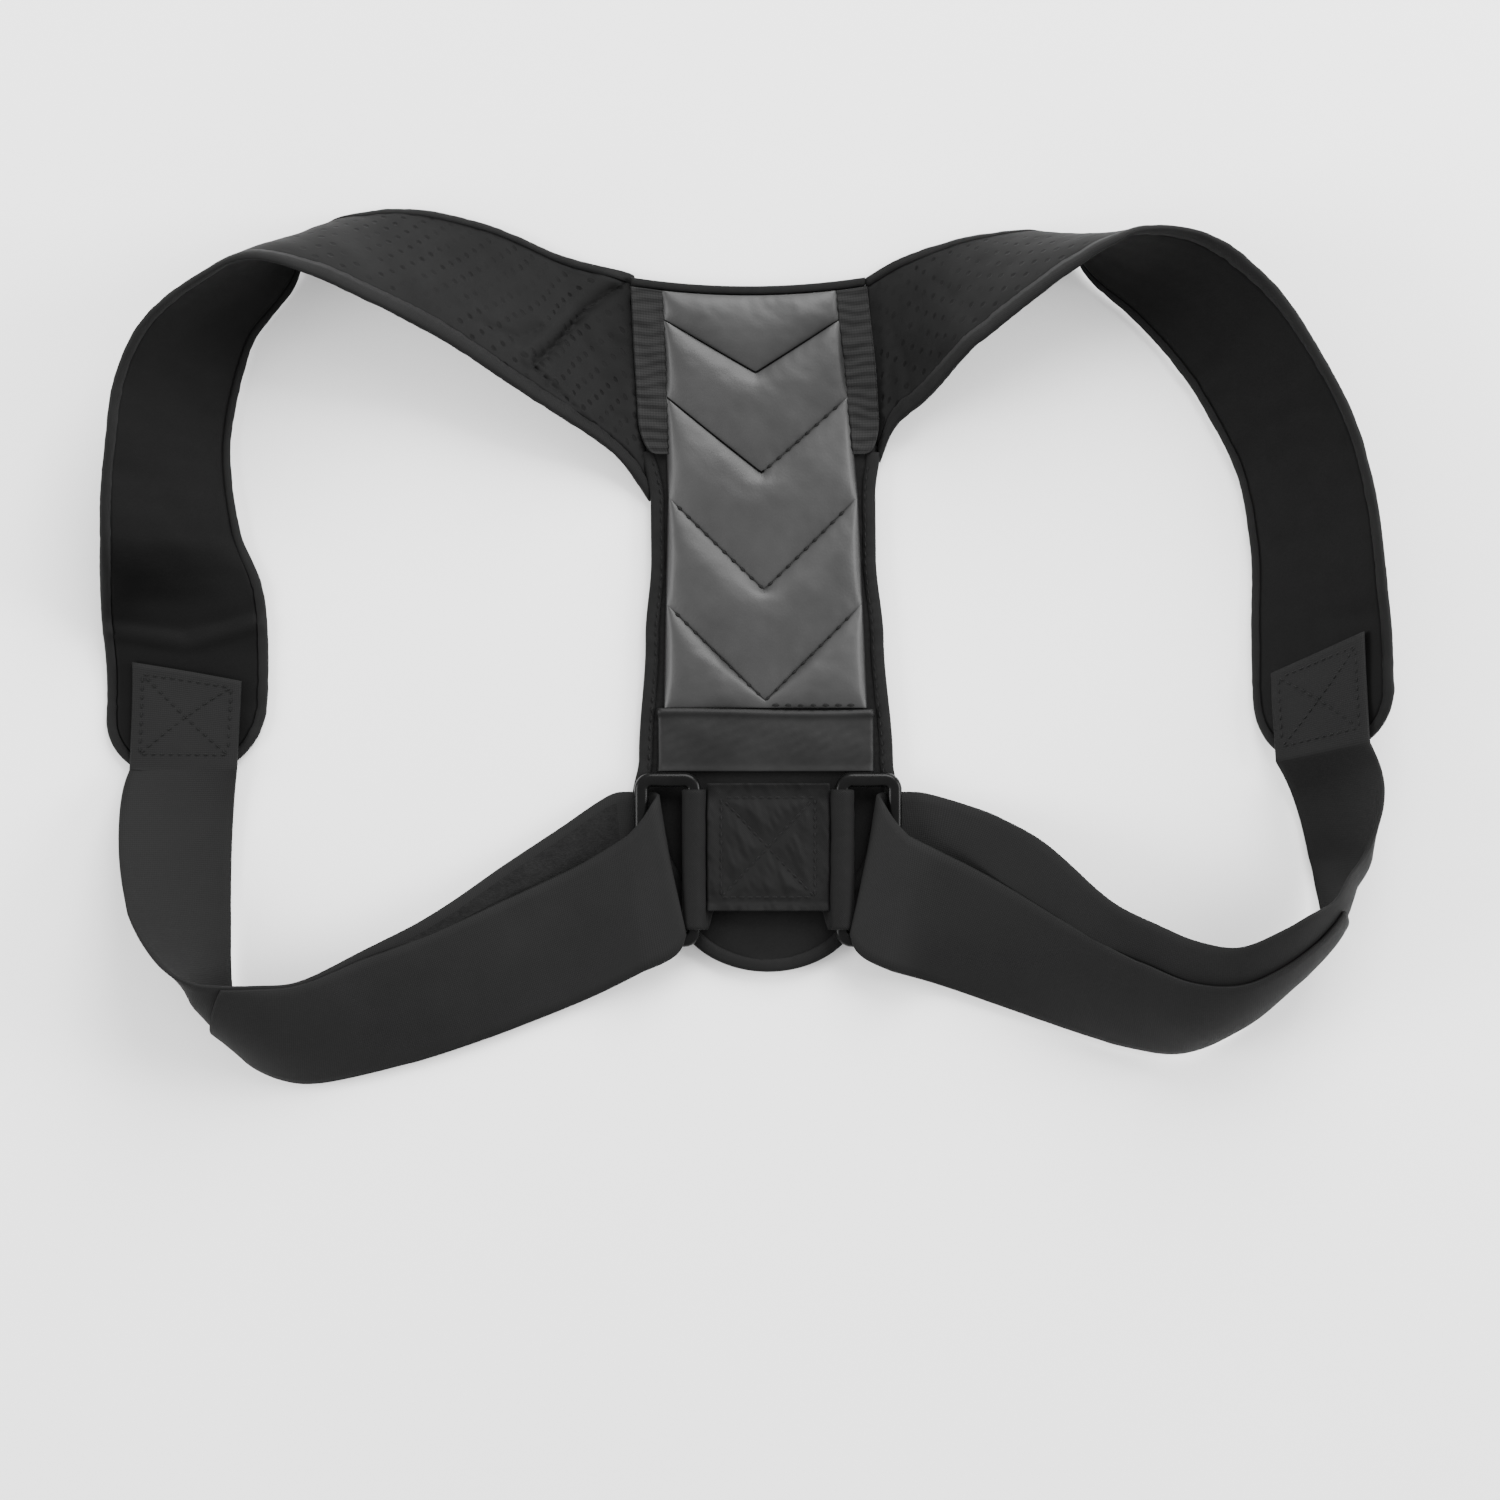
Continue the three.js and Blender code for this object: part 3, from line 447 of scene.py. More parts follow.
@dataclass(frozen=True)
class PaleFloor:
    """A plain pale floor."""

    name: str = "pale_floor"
    dark: float = 0.93
    light: float = 0.95
    cloud_scale: float = 3
    roughness: float = 0.9
    specular: float = 0.1

    def build(self) -> Material:
        """Makes the floor's material.

        Returns:
            The new material.
        """
        sheet = NodeSheet(self.name)
        colour = sheet.blended(sheet.noise(self.cloud_scale), grey(self.dark), grey(self.light))
        sheet.link(colour, sheet.shader.inputs["Base Color"])
        sheet.shader.inputs["Roughness"].default_value = self.roughness
        sheet.shader.inputs["Specular IOR Level"].default_value = self.specular
        return sheet.material


QUILTED_LEATHER = LeatherFinish("quilted_leather")
# Darker leather painted along the upper seams as painted shade in their grooves
SEAM_SHADE_LEATHER = LeatherFinish("painted_seam_shade", 0.001, 0.003, smooth=0.6, worn=0.8, specular=0.05)
BAND_LEATHER = LeatherFinish("band_leather", 0.004, 0.0075, smooth=0.5, worn=0.62, specular=0.18)
PANEL_BACKING = ClothFinish("panel_backing", Grain.KNIT, 0.002, 0.005, pitch_mm=1.0,
                            relief_mm=0.12, roughness=0.72, sheen=0.01, specular=0.1)
RIBBED_TAPE = ClothFinish("ribbed_tape", Grain.RIB, 0.006, 0.013, pitch_mm=1.1, relief_mm=0.06)
BINDING_TAPE = ClothFinish("binding_tape", Grain.WEAVE, 0.003, 0.008, pitch_mm=0.8,
                           relief_mm=0.08, roughness=0.74, sheen=0.01, specular=0.1)
WEBBING = ClothFinish("webbing", Grain.WEAVE, 0.0022, 0.007, pitch_mm=0.9,
                      relief_mm=0.12, roughness=0.72, sheen=0.01, specular=0.1)
ELASTIC_WEBBING = ClothFinish("elastic_webbing", Grain.RIB, 0.0055, 0.0095, pitch_mm=0.8,
                              relief_mm=0.06, roughness=0.76, sheen=0.0, specular=0.1)
LOOP_PILE = ClothFinish("loop_pile", Grain.PILE, 0.001, 0.011, pitch_mm=1.0, relief_mm=0.9, roughness=0.9)
PERFORATED_COVER = PerforatedFinish("perforated_cover")
SMOOTH_LINING = ClothFinish("smooth_lining", Grain.KNIT, 0.0015, 0.003, pitch_mm=1.0,
                            relief_mm=0.06, roughness=0.66, sheen=0.0, specular=0.07)
RING_PLASTIC = PlasticFinish("ring_plastic")
SEWING_THREAD = ClothFinish("sewing_thread", Grain.RIB, 0.001, 0.006, pitch_mm=0.5,
                            relief_mm=0.05, roughness=0.7)


@dataclass
class Wardrobe:
    """Every finish of the brace, built once."""

    leather: Material = field(default_factory=QUILTED_LEATHER.build)
    # Leather of the painted seam shade
    seam: Material = field(default_factory=SEAM_SHADE_LEATHER.build)
    plain_leather: Material = field(default_factory=BAND_LEATHER.build)
    backing: Material = field(default_factory=PANEL_BACKING.build)
    tape: Material = field(default_factory=RIBBED_TAPE.build)
    binding: Material = field(default_factory=BINDING_TAPE.build)
    webbing: Material = field(default_factory=WEBBING.build)
    elastic: Material = field(default_factory=ELASTIC_WEBBING.build)
    pile: Material = field(default_factory=LOOP_PILE.build)
    perforated: Material = field(default_factory=PERFORATED_COVER.build)
    lining: Material = field(default_factory=SMOOTH_LINING.build)
    plastic: Material = field(default_factory=RING_PLASTIC.build)
    thread: Material = field(default_factory=SEWING_THREAD.build)


# Lines, skins and stitches


def mix(start: Array | float, end: Array | float, share: Array | float) -> Array | float:
    """The value a share of the way from one to another."""
    return start + (end - start) * share


def unit(vectors: Array) -> Array:
    """Vectors scaled to length one."""
    return vectors / np.maximum(np.linalg.norm(vectors, axis=-1, keepdims=True), 1e-9)


def run_lengths(points: Array) -> Array:
    """Distances along a line of points from its first one."""
    return np.concatenate([[0], np.cumsum(np.linalg.norm(np.diff(points, axis=0), axis=1))])


def smooth_line(points: Array, params: Array) -> Array:
    """A smooth line through points.

    Args:
        points: the points, one a row.
        params: places along the line, counted in points from 0.

    Returns:
        One point for each place.
    """
    padded = np.vstack([2 * points[0] - points[1], points, 2 * points[-1] - points[-2]])
    index = np.clip(np.floor(params).astype(int), 0, len(points) - 2)
    share = (params - index)[:, None]
    before, start, end, after = (padded[index + k] for k in range(4))
    gap = [np.maximum(np.linalg.norm(b - a, axis=1, keepdims=True) ** 0.5, 1e-2)
           for a, b in ((before, start), (start, end), (end, after))]
    leave = (start - before) / gap[0] - (end - before) / (gap[0] + gap[1]) + (end - start) / gap[1]
    arrive = (end - start) / gap[1] - (after - start) / (gap[1] + gap[2]) + (after - end) / gap[2]
    leave, arrive = leave * gap[1], arrive * gap[1]
    square = -3 * start + 3 * end - 2 * leave - arrive
    cube = 2 * start - 2 * end + leave + arrive
    return start + leave * share + square * share ** 2 + cube * share ** 3


def ripples(across: Array, along: Array, pitch: float, seed: int, count: int = 7) -> Array:
    """Soft random ripples of cloth.

    Args:
        across: mm across.
        along: mm along.
        pitch: the ripples' usual spacing in mm.
        seed: which ripples.
        count: how many waves are added up.

    Returns:
        Heights from about -1 to 1, in the shape of `across` and `along` together.
    """
    rng = np.random.default_rng(seed)
    total = np.zeros(np.broadcast(across, along).shape)
    for _ in range(count):
        angle, phase = rng.uniform(0, 2 * math.pi, 2)
        turn = 2 * math.pi / (pitch * rng.uniform(0.7, 1.6))
        total = total + np.sin(turn * (across * math.cos(angle) + along * math.sin(angle)) + phase)
    return total / count ** 0.5 / 1.4


@dataclass(frozen=True)
class Fold:
    """A fold or crease across a strip, through places given as mm along and share across."""

    places: tuple[tuple[float, float], ...]
    depth: float
    width: float
    ridge: float = 0.5
    ridge_out: float = 2.0
    ridge_width: float = 1.4

    def lift(self, along: Array, across: Array, share: Array, width: Array) -> Array:
        """Heights that the fold adds.

        Args:
            along: mm along the strip.
            across: mm across the strip.
            share: shares across the strip.
            width: the strip's width in mm at each place.

        Returns:
            The heights.
        """
        best = np.full(np.broadcast(along, share).shape, 1e9)
        sign = np.ones_like(best)
        for (start_along, start_share), (end_along, end_share) in zip(self.places, self.places[1:]):
            ax, ay = start_along, start_share * width
            bx, by = end_along, end_share * width
            dx, dy = bx - ax, by - ay
            run = np.clip(((along - ax) * dx + (share * width - ay) * dy) / (dx ** 2 + dy ** 2), 0, 1)
            ox, oy = along - ax - run * dx, share * width - ay - run * dy
            away = np.hypot(ox, oy)
            nearer = away < best
            sign = np.where(nearer, np.sign(dx * oy - dy * ox), sign)
            best = np.where(nearer, away, best)
        groove = -self.depth * np.exp(-(best / self.width) ** 2)
        past = (best * sign - self.ridge_out * self.width) / (self.ridge_width * self.width)
        return groove + self.ridge * self.depth * np.exp(-past ** 2)


@dataclass
class Placement:
    """Where the brace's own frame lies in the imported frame, in metres."""

    shift: Array = field(default_factory=lambda: np.zeros(3))

    def find(self, panel: "PanelShape", rings: "RingSizes") -> None:
        """Finds the shift from a ring's box and the backing's underside.

        Args:
            panel: the panel's outline.
            rings: the rings' sizes.
        """
        low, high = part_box("left_ring")
        middle = panel.middle(rings.up) - (rings.inner_out + rings.outer_out) / 2
        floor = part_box("back_pad")[0][2]
        self.shift = np.array([
            (low[0] + high[0]) / 2 - middle / 1000, (low[1] + high[1]) / 2 - rings.up / 1000, floor])

    def metres(self, points: Array) -> Array:
        """Own mm to packed metres."""
        return points / 1000 + self.shift


PLACE = Placement()
# Height of the floor in the brace's own frame, and how far above it points start to be eased up
FLOOR_LEVEL = -0.42
FLOOR_EASE = 0.7


def settled(points: Array) -> Array:
    """Keeps points from going under the floor.

    Args:
        points: points in own mm.

    Returns:
        The points, with those near or under the floor eased up to stay above it.
    """
    start = FLOOR_LEVEL + FLOOR_EASE
    low = np.minimum(points[:, 2], start)
    eased = FLOOR_LEVEL + FLOOR_EASE * np.exp((low - start) / FLOOR_EASE)
    return np.column_stack([points[:, :2], np.where(points[:, 2] < start, eased, points[:, 2])])


def new_object(name: str, points: Array, faces: Faces, strip: Array,
               materials: Sequence[Material], which: Optional[Array] = None) -> Piece:
    """Makes a smooth-shaded mesh object that rides on the brace.

    Args:
        name: the piece's name.
        points: its points in own mm.
        faces: corners of each face.
        strip: mm across and along for each point.
        materials: its finishes.
        which: the finish of each face.

    Returns:
        The new object.
    """
    mesh = bpy.data.meshes.new(name)
    mesh.from_pydata(PLACE.metres(settled(points)).tolist(), [], faces)
    layer = mesh.uv_layers.new(name="strip")
    corners = np.empty(len(mesh.loops), dtype=np.int32)
    mesh.loops.foreach_get("vertex_index", corners)
    layer.data.foreach_set("uv", strip[corners].astype(np.float32).ravel())
    for material in materials:
        mesh.materials.append(material)
    if which is not None:
        mesh.polygons.foreach_set("material_index", np.asarray(which, dtype=np.int32))
    mesh.polygons.foreach_set("use_smooth", np.ones(len(mesh.polygons), dtype=bool))
    mesh.update()
    made = bpy.data.objects.new(name, mesh)
    bpy.context.collection.objects.link(made)
    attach(made, "root")
    return made


@dataclass
class Skin:
    """A cloth or leather layer: a grid of middle points with a half thickness at each."""

    grid: Array
    half: Array
    edge_share: float = 0.8

    def normals(self) -> Array:
        """The outward direction at each grid point."""
        return unit(np.cross(np.gradient(self.grid, axis=0), np.gradient(self.grid, axis=1)))

    def moved(self, lift: Array) -> "Skin":
        """The skin with each point moved along its outward direction."""
        return Skin(self.grid + self.normals() * lift[..., None], self.half)

    def strip(self) -> Array:
        """Lays the layer out flat.

        Returns:
            Millimetres across from the middle and along from the first row at each grid point.
        """
        steps = np.linalg.norm(np.diff(self.grid, axis=1), axis=2)
        across = np.hstack([np.zeros((len(self.grid), 1)), np.cumsum(steps, axis=1)])
        across = across - across[:, -1:] / 2
        along = run_lengths(self.grid[:, self.grid.shape[1] // 2])
        return np.stack([across, np.repeat(along[:, None], self.grid.shape[1], axis=1)], axis=2)

    def declare(self, piece: Piece, held: str, rests_on: Sequence[str]) -> None:
        """Takes the layer's details and does nothing with them.

        Args:
            piece: the layer's object; not used.
            held: how the sheet is held; not used.
            rests_on: the pieces that it lies on; not used.
        """

    def build(self, name: str, upper: Material, lower: Optional[Material] = None,
              patches: Sequence[tuple[slice, slice, Material]] = ()) -> Piece:
        """Makes the closed layer with rounded edges.

        Args:
            name: the piece's name.
            upper: the finish of its outer face and edges.
            lower: the finish of its inner face, or none if it is the same.
            patches: slices of rows and columns of the outer face, each with a finish of its own.

        Returns:
            The new object.
        """
        rows, columns = self.grid.shape[:2]
        normal = self.normals()
        half = np.broadcast_to(self.half, (rows, columns))[..., None]
        side = unit(self.grid[:, -1] - self.grid[:, 0])[:, None]
        top = self.grid + normal * half
        bottom = (self.grid - normal * half)[:, ::-1]
        right = self.grid[:, -1:] + side * half[:, -1:] * self.edge_share
        left = self.grid[:, :1] - side * half[:, :1] * self.edge_share
        points = np.concatenate([top, right, bottom, left], axis=1)
        around = points.shape[1]
        plan = self.strip()
        out = np.array([self.edge_share, 0])
        edge = np.concatenate([plan, plan[:, -1:] + out, plan[:, ::-1], plan[:, :1] - out], axis=1)
        faces: Faces = []
        which: list[int] = []
        inner = columns + 1
        for i in range(rows - 1):
            for j in range(around):
                following = (j + 1) % around
                faces.append((i * around + j, (i + 1) * around + j,
                              (i + 1) * around + following, i * around + following))
                chosen = 1 if lower and inner <= j < inner + columns - 1 else 0
                for number, (row_range, column_range, _) in enumerate(patches):
                    in_rows = i in range(*row_range.indices(rows))
                    if j < columns - 1 and in_rows and j in range(*column_range.indices(columns)):
                        chosen = number + 2
                which.append(chosen)
        for start, flip in ((0, False), ((rows - 1) * around, True)):
            for j in range(columns - 1):
                quad = (start + j, start + j + 1, start + 2 * columns - j - 1, start + 2 * columns - j)
                faces.append(quad[::-1] if flip else quad)
                which.append(0)
            for corner in ((start + columns - 1, start + columns, start + columns + 1),
                           (start, start + 2 * columns, start + 2 * columns + 1)):
                faces.append(corner[::-1] if flip else corner)
                which.append(0)
        materials = [upper, lower or upper] + [patch[2] for patch in patches]
        return new_object(name, points.reshape(-1, 3), faces, edge.reshape(-1, 2), materials, np.array(which))


class FlatSkin(Skin):
    """A skin that lies flat, so that its thickness is measured straight up."""

    def normals(self) -> Array:
        """Straight up at each grid point."""
        return np.broadcast_to(np.array([0.0, 0.0, 1.0]), self.grid.shape)


def upright(skin: Skin) -> FlatSkin:
    """The skin laid flat, with its columns turned round where its outward side would be down."""
    order = slice(None, None, -1 if skin.normals()[..., 2].mean() < 0 else 1)
    return FlatSkin(skin.grid[:, order], skin.half[:, order])


def tube_mesh(name: str, sections: Array, strip: Array, material: Material,
              joined: bool = False) -> Piece:
    """A closed body through a run of closed sections.

    Args:
        name: the piece's name.
        sections: points by section and place round it.
        strip: mm across and along in the same layout.
        material: its finish.
        joined: whether the last section meets the first.

    Returns:
        The new object.
    """
    count, around = sections.shape[:2]
    faces: Faces = []
    for i in range(count if joined else count - 1):
        for j in range(around):
            here, there = i * around, ((i + 1) % count) * around
            following = (j + 1) % around
            faces.append((here + j, there + j, there + following, here + following))
    if not joined:
        faces.append(tuple(range(around)))
        faces.append(tuple(range((count - 1) * around, count * around))[::-1])
    made = new_object(name, sections.reshape(-1, 3), faces, strip.reshape(-1, 2), [material])
    made.data.validate()
    return made


@dataclass
class StitchRow:
    """Runs of sewn thread that become one piece."""

    name: str
    length: float = 2.7
    gap: float = 1.3
    radius: float = 0.36
    rings: int = 5
    sides: int = 6
    end_share: float = 0.45
    arch_height: float = 1.1
    runs: list[tuple[Array, Array]] = field(default_factory=list)

    def add(self, points: Array, normals: Array) -> None:
        """Adds a run of stitches.

        Args:
            points: the run's points on the cloth.
            normals: the cloth's outward direction at each.
        """
        self.runs.append((np.asarray(points, dtype=float), np.asarray(normals, dtype=float)))

    def add_level(self, points: Array) -> None:
        """Adds a run of stitches on cloth that lies flat."""
        self.add(points, np.tile([0.0, 0.0, 1.0], (len(points), 1)))

    def build(self, thread: Material) -> Piece:
        """Makes every stitch of every run.

        Args:
            thread: the thread's finish.

        Returns:
            One object that holds them all.
        """
        points: list[Array] = []
        faces: Faces = []
        strips: list[Array] = []
        for run, normals in self.runs:
            places = run_lengths(run)
            start = self.gap / 2
            while start + self.length < places[-1]:
                stitch, strip = self._stitch(run, normals, places, start)
                faces += self._faces(len(points) * self.rings * self.sides)
                points.append(stitch)
                strips.append(strip)
                start += self.length + self.gap
        return new_object(self.name, np.vstack(points), faces, np.vstack(strips), [thread])

    def _stitch(self, run: Array, normals: Array, places: Array, start: float) -> tuple[Array, Array]:
        """One stitch as a run of rings that arch up from the cloth.

        Args:
            run: the run's points on the cloth.
            normals: the cloth's outward direction at each.
            places: distance of each point from the run's start.
            start: where the stitch starts along the run.

        Returns:
            The stitch's points, and mm round and along for each.
        """
        share = np.linspace(0, 1, self.rings)
        at = start + self.length * share
        spine = np.stack([np.interp(at, places, run[:, k]) for k in range(3)], axis=1)
        up = unit(np.stack([np.interp(at, places, normals[:, k]) for k in range(3)], axis=1))
        across = unit(np.cross(unit(np.gradient(spine, axis=0)), up))
        arch = np.sin(math.pi * share)[:, None]
        thick = self.radius * mix(self.end_share, 1, arch)
        middle = spine + up * (self.radius * (self.arch_height * arch - self.end_share))
        angle = 2 * math.pi * np.arange(self.sides) / self.sides
        round_it = (np.cos(angle)[:, None] * across[:, None] + np.sin(angle)[:, None] * up[:, None])
        points = middle[:, None] + thick[:, None] * round_it
        strip = np.stack(np.broadcast_arrays(angle[None, :], at[:, None]), axis=2)
        return points.reshape(-1, 3), strip.reshape(-1, 2)

    def _faces(self, first: int) -> Faces:
        """The faces of one stitch.

        Args:
            first: the number of the stitch's first point.

        Returns:
            The corners of each face.
        """
        faces: Faces = []
        for ring in range(self.rings - 1):
            low, high = first + ring * self.sides, first + (ring + 1) * self.sides
            for j in range(self.sides):
                following = (j + 1) % self.sides
                faces.append((low + j, low + following, high + following, high + j))
        last = first + (self.rings - 1) * self.sides
        faces.append(tuple(range(first, first + self.sides))[::-1])
        faces.append(tuple(range(last, last + self.sides)))
        return faces


# The spine panel


@dataclass(frozen=True)
class PanelSection:
    """A level of the panel: share of its length, width and sideways drift of its middle."""

    up: float
    width: float
    drift: float


@dataclass
class PanelShape:
    """The spine panel's outline and levels."""

    length: float = 278
    top_width: float = 94
    waist_width: float = 90
    low_width: float = 106
    thickness: float = 5
    top_dip: float = 3.6
    drift: float = 8
    tongue_width: float = 76
    tongue_depth: float = 29
    binding_width: float = 5.5
    top_binding_width: float = 3.5
    raise_: float = 0.5
    gap: float = 0.4
    floor_gap: float = 0.2
    seam_tuck: float = 2.2

    def __post_init__(self) -> None:
        """Works out the rows of the outline."""
        self.rows = (
            PanelSection(self.tongue_depth / self.length, self.tongue_width, 0.4),
            PanelSection(0.176, 0.85 * self.low_width, 0.4),
            PanelSection(0.255, self.low_width, 0.25),
            PanelSection(0.306, 0.96 * self.low_width, 0.3),
            PanelSection(0.48, 1.06 * self.waist_width, 0.23),
            PanelSection(0.595, self.waist_width, 0.18),
            PanelSection(0.682, self.waist_width, 0.15),
            PanelSection(0.754, 1.02 * self.top_width, 0.0),
            PanelSection(0.855, 1.02 * self.top_width, -0.2),
            PanelSection(1.0, self.top_width, -0.6),
        )

    def _between(self, height: Array | float, eased: bool) -> Array | float:
        """Width or drift between the rows.

        Args:
            height: heights up the panel.
            eased: whether it is the width, which is eased, or the drift, which runs straight.

        Returns:
            The width or the drift at each height.
        """
        up = np.atleast_1d(np.asarray(height, dtype=float)) / self.length
        levels = np.array([row.up for row in self.rows])
        values = np.array([row.width if eased else row.drift for row in self.rows])
        index = np.clip(np.searchsorted(levels, up, side="left"), 1, len(levels) - 1)
        share = np.clip((up - levels[index - 1]) / (levels[index] - levels[index - 1]), 0, 1)
        share = share * share * (3 - 2 * share) if eased else share
        found = mix(values[index - 1], values[index], share)
        return found if np.ndim(height) else float(found[0])

    def middle(self, height: Array | float) -> Array | float:
        """The panel's middle at a height."""
        return self.drift * self._between(height, False)

    def half(self, height: Array | float) -> Array | float:
        """The panel's half width at a height."""
        return self._between(height, True) / 2

    def top_edge(self, x: Array | float) -> Array | float:
        """Height of the dipped top edge at a distance across."""
        share = (x - self.middle(self.length)) / self.half(self.length)
        return self.length - self.top_dip * np.maximum(0, 1 - share * share)

    @property
    def deck(self) -> float:
        """Height of the underside of what lies on the backing."""
        return self.thickness + self.gap

    @property
    def top_face(self) -> float:
        """Height of the bindings' upper face above the floor."""
        return self.thickness + self.raise_

    def outline(self, side_steps: int = 90, tongue_steps: int = 60) -> Array:
        """The open outline from the top left, down round the tongue and up to the top right.

        Args:
            side_steps: points along each side.
            tongue_steps: steps round the tongue.

        Returns:
            The outline's points in plan.
        """
        heights = np.linspace(self.length, self.tongue_depth, side_steps)
        left = np.stack([self.middle(heights) - self.half(heights), heights], axis=1)
        angle = np.linspace(0, math.pi, tongue_steps + 1)[1:-1]
        foot = self.tongue_depth
        tongue = np.stack([self.middle(foot) - self.half(foot) * np.cos(angle),
                           foot - foot * np.sin(angle)], axis=1)
        right = np.stack([self.middle(heights) + self.half(heights), heights], axis=1)[::-1]
        return np.vstack([left, tongue, right])

    def inset(self, outline: Array, distance: Array | float) -> Array:
        """The outline moved inward by a distance, or by one for each of its points."""
        along = unit(np.gradient(outline, axis=0))
        return outline + np.stack([-along[:, 1], along[:, 0]], axis=1) * np.reshape(distance, (-1, 1))


@dataclass
class RingSizes:
    """Sizes of the rings, the webbing that holds them and the square between them."""

    up: float = 45
    opening_length: float = 58
    opening_width: float = 15
    bar_width: float = 6
    bar_thickness: float = 5
    corner_radius: float = 5
    loop_width: float = 55
    loop_thickness: float = 1.4
    tab_width: float = 48
    tab_length: float = 51
    tab_thickness: float = 1.4
    tab_raise: float = 5
    strap_thickness: float = 1.6
    gap: float = 0.4
    panel_top: float = 5.5

    @property
    def deck(self) -> float:
        """Height of the lowest webbing's underside."""
        return self.panel_top + self.gap

    @property
    def middle_up(self) -> float:
        """Height of the rings' middle above the floor."""
        under = max(self.strap_thickness, self.loop_thickness) + self.gap
        return self.deck + under + self.bar_thickness / 2

    @property
    def inner_out(self) -> float:
        """The inner bar's distance from the panel's middle."""
        return self.tab_width / 2 + 3 * self.gap + self.loop_thickness + self.bar_width / 2

    @property
    def outer_out(self) -> float:
        """The outer bar's distance from the panel's middle."""
        return self.inner_out + self.opening_width + self.bar_width


@dataclass
class SpinePanel:
    """The backing, quilted cover, plain band, side tapes and bindings."""

    shape: PanelShape
    wardrobe: Wardrobe
    cover_bottom: float = 105.6
    cover_top_width: float = 69
    cover_low_width: float = 80
    cover_edge: float = 1.6
    cover_bulge: float = 3.7
    cover_columns: int = 65
    field_rows: int = 28
    puff_power: float = 0.58
    pucker_reach: float = 9
    pucker_depth: float = 0.2
    dent_depth: float = 0.22
    fine_dent_depth: float = 0.1
    backing_low: float = 0.05
    backing_top: float = 4.6
    backing_crown: float = 0.7
    backing_rows: int = 120
    binding_overlap: float = 1.2
    band_length: float = 25
    band_width: float = 85
    band_thickness: float = 1.5
    band_sag: float = 0.9
    band_lip: float = 1.1
    band_skew: float = 0.5
    tape_thickness: float = 1.2
    tape_inset: float = 0.2
    tape_lift: float = 0.5
    tape_corner: tuple[float, float] = (6.5, 15)
    corner_up: float = 206.7
    seams: tuple[tuple[float, float], ...] = ((0.245, 0.228), (0.497, 0.217), (0.737, 0.18), (0.922, 0.127))
    sewn_spans: tuple[tuple[float, float], ...] = ((-0.94, 0.94), (-0.94, 0.94), (0.04, 0.94))
    foot_span: tuple[float, float] = (0.04, 0.95)

    @property
    def cover_length(self) -> float:
        """The cover's length up the panel."""
        return self.shape.length - (self.shape.top_binding_width + self.shape.gap) - self.cover_bottom

    def build(self) -> list[Piece]:
        """Builds the panel's pieces."""
        made = [self.backing(), self.cover(), self.band(), self.top_binding(), self.lower_binding()]
        return [*made, *map(self.side_tape, Side), self.cover_stitches(), self.binding_stitches()]

    def cover_half(self, height: Array) -> Array:
        """The cover's half width at a height."""
        share = (height - self.cover_bottom) / (self.shape.length - self.cover_bottom)
        return mix(self.cover_low_width, self.cover_top_width, share) / 2

    def backing(self) -> Piece:
        """The padded backing, softly crowned, inside its bindings.

        Returns:
            The backing.
        """
        shape = self.shape
        outline = shape.outline()
        below_pads = outline[:, 1] < self.corner_up
        tuck = np.where(below_pads, shape.binding_width - self.binding_overlap, shape.seam_tuck)
        inner = shape.inset(outline, tuck)
        half_count = len(inner) // 2
        index = np.linspace(0, 1, self.backing_rows) ** 1.15 * (half_count - 1)
        left, right = (np.stack([np.interp(index, np.arange(half_count), line[:half_count, k])
                                 for k in (0, 1)], axis=1) for line in (inner, inner[::-1]))
        columns = np.linspace(0, 1, 33)
        plan = mix(left[:, None], right[:, None], columns[None, :, None])
        highest = shape.top_edge(plan[..., 0]) - shape.top_binding_width - shape.gap
        plan[..., 1] = np.minimum(plan[..., 1], highest)
        crown = (1 - np.abs(2 * columns - 1) ** 3)[None, :] * np.ones((self.backing_rows, 1))
        waves = 0.12 * ripples(plan[..., 0], plan[..., 1], 16, 3)
        top = self.backing_top + self.backing_crown * crown + waves
        grid = np.dstack([plan[..., 0], plan[..., 1], (top + self.backing_low) / 2])
        half = (top - self.backing_low) / 2
        piece = upright(Skin(grid[::-1], half[::-1])).build("padded_backing", self.wardrobe.backing)
        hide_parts("back_pad")
        return piece

    def cover_fields(self) -> tuple[Array, Array, Array, Array]:
        """Places over the quilted cover.

        Returns:
            Shares across, and heights, shares up each field and fullness of each field by row.
        """
        shape, rows, columns, length = self.shape, self.field_rows, self.cover_columns, self.cover_length
        across = np.linspace(-1, 1, columns)
        top_x = shape.middle(shape.length) + self.cover_top_width / 2 * across
        lines = [np.zeros(columns)]
        lines += [up - dip * (1 - np.abs(across)) for up, dip in self.seams]
        lines.append(1 - (shape.length - shape.top_edge(top_x)) / length)
        dips = [0.0] + [dip for _, dip in self.seams] + [0.0]
        ups, shares, fulls = [], [], []
        for number, (low, high) in enumerate(zip(lines, lines[1:])):
            for row in range(1 if number else 0, rows + 1):
                share = 0.5 - 0.5 * math.cos(math.pi * row / rows)
                rounding = np.hypot(across, 0.3 * math.sin(math.pi * share)) - np.abs(across)
                rounding = rounding * np.minimum(1, (high - low) / 0.25)
                softened = mix(low, high, share) + mix(dips[number], dips[number + 1], share) * rounding
                ups.append(self.cover_bottom + length * softened)
                shares.append(np.full(columns, share))
                fulls.append(np.minimum(1, (high - low) / 0.12))
        return across, np.array(ups), np.array(shares), np.array(fulls)

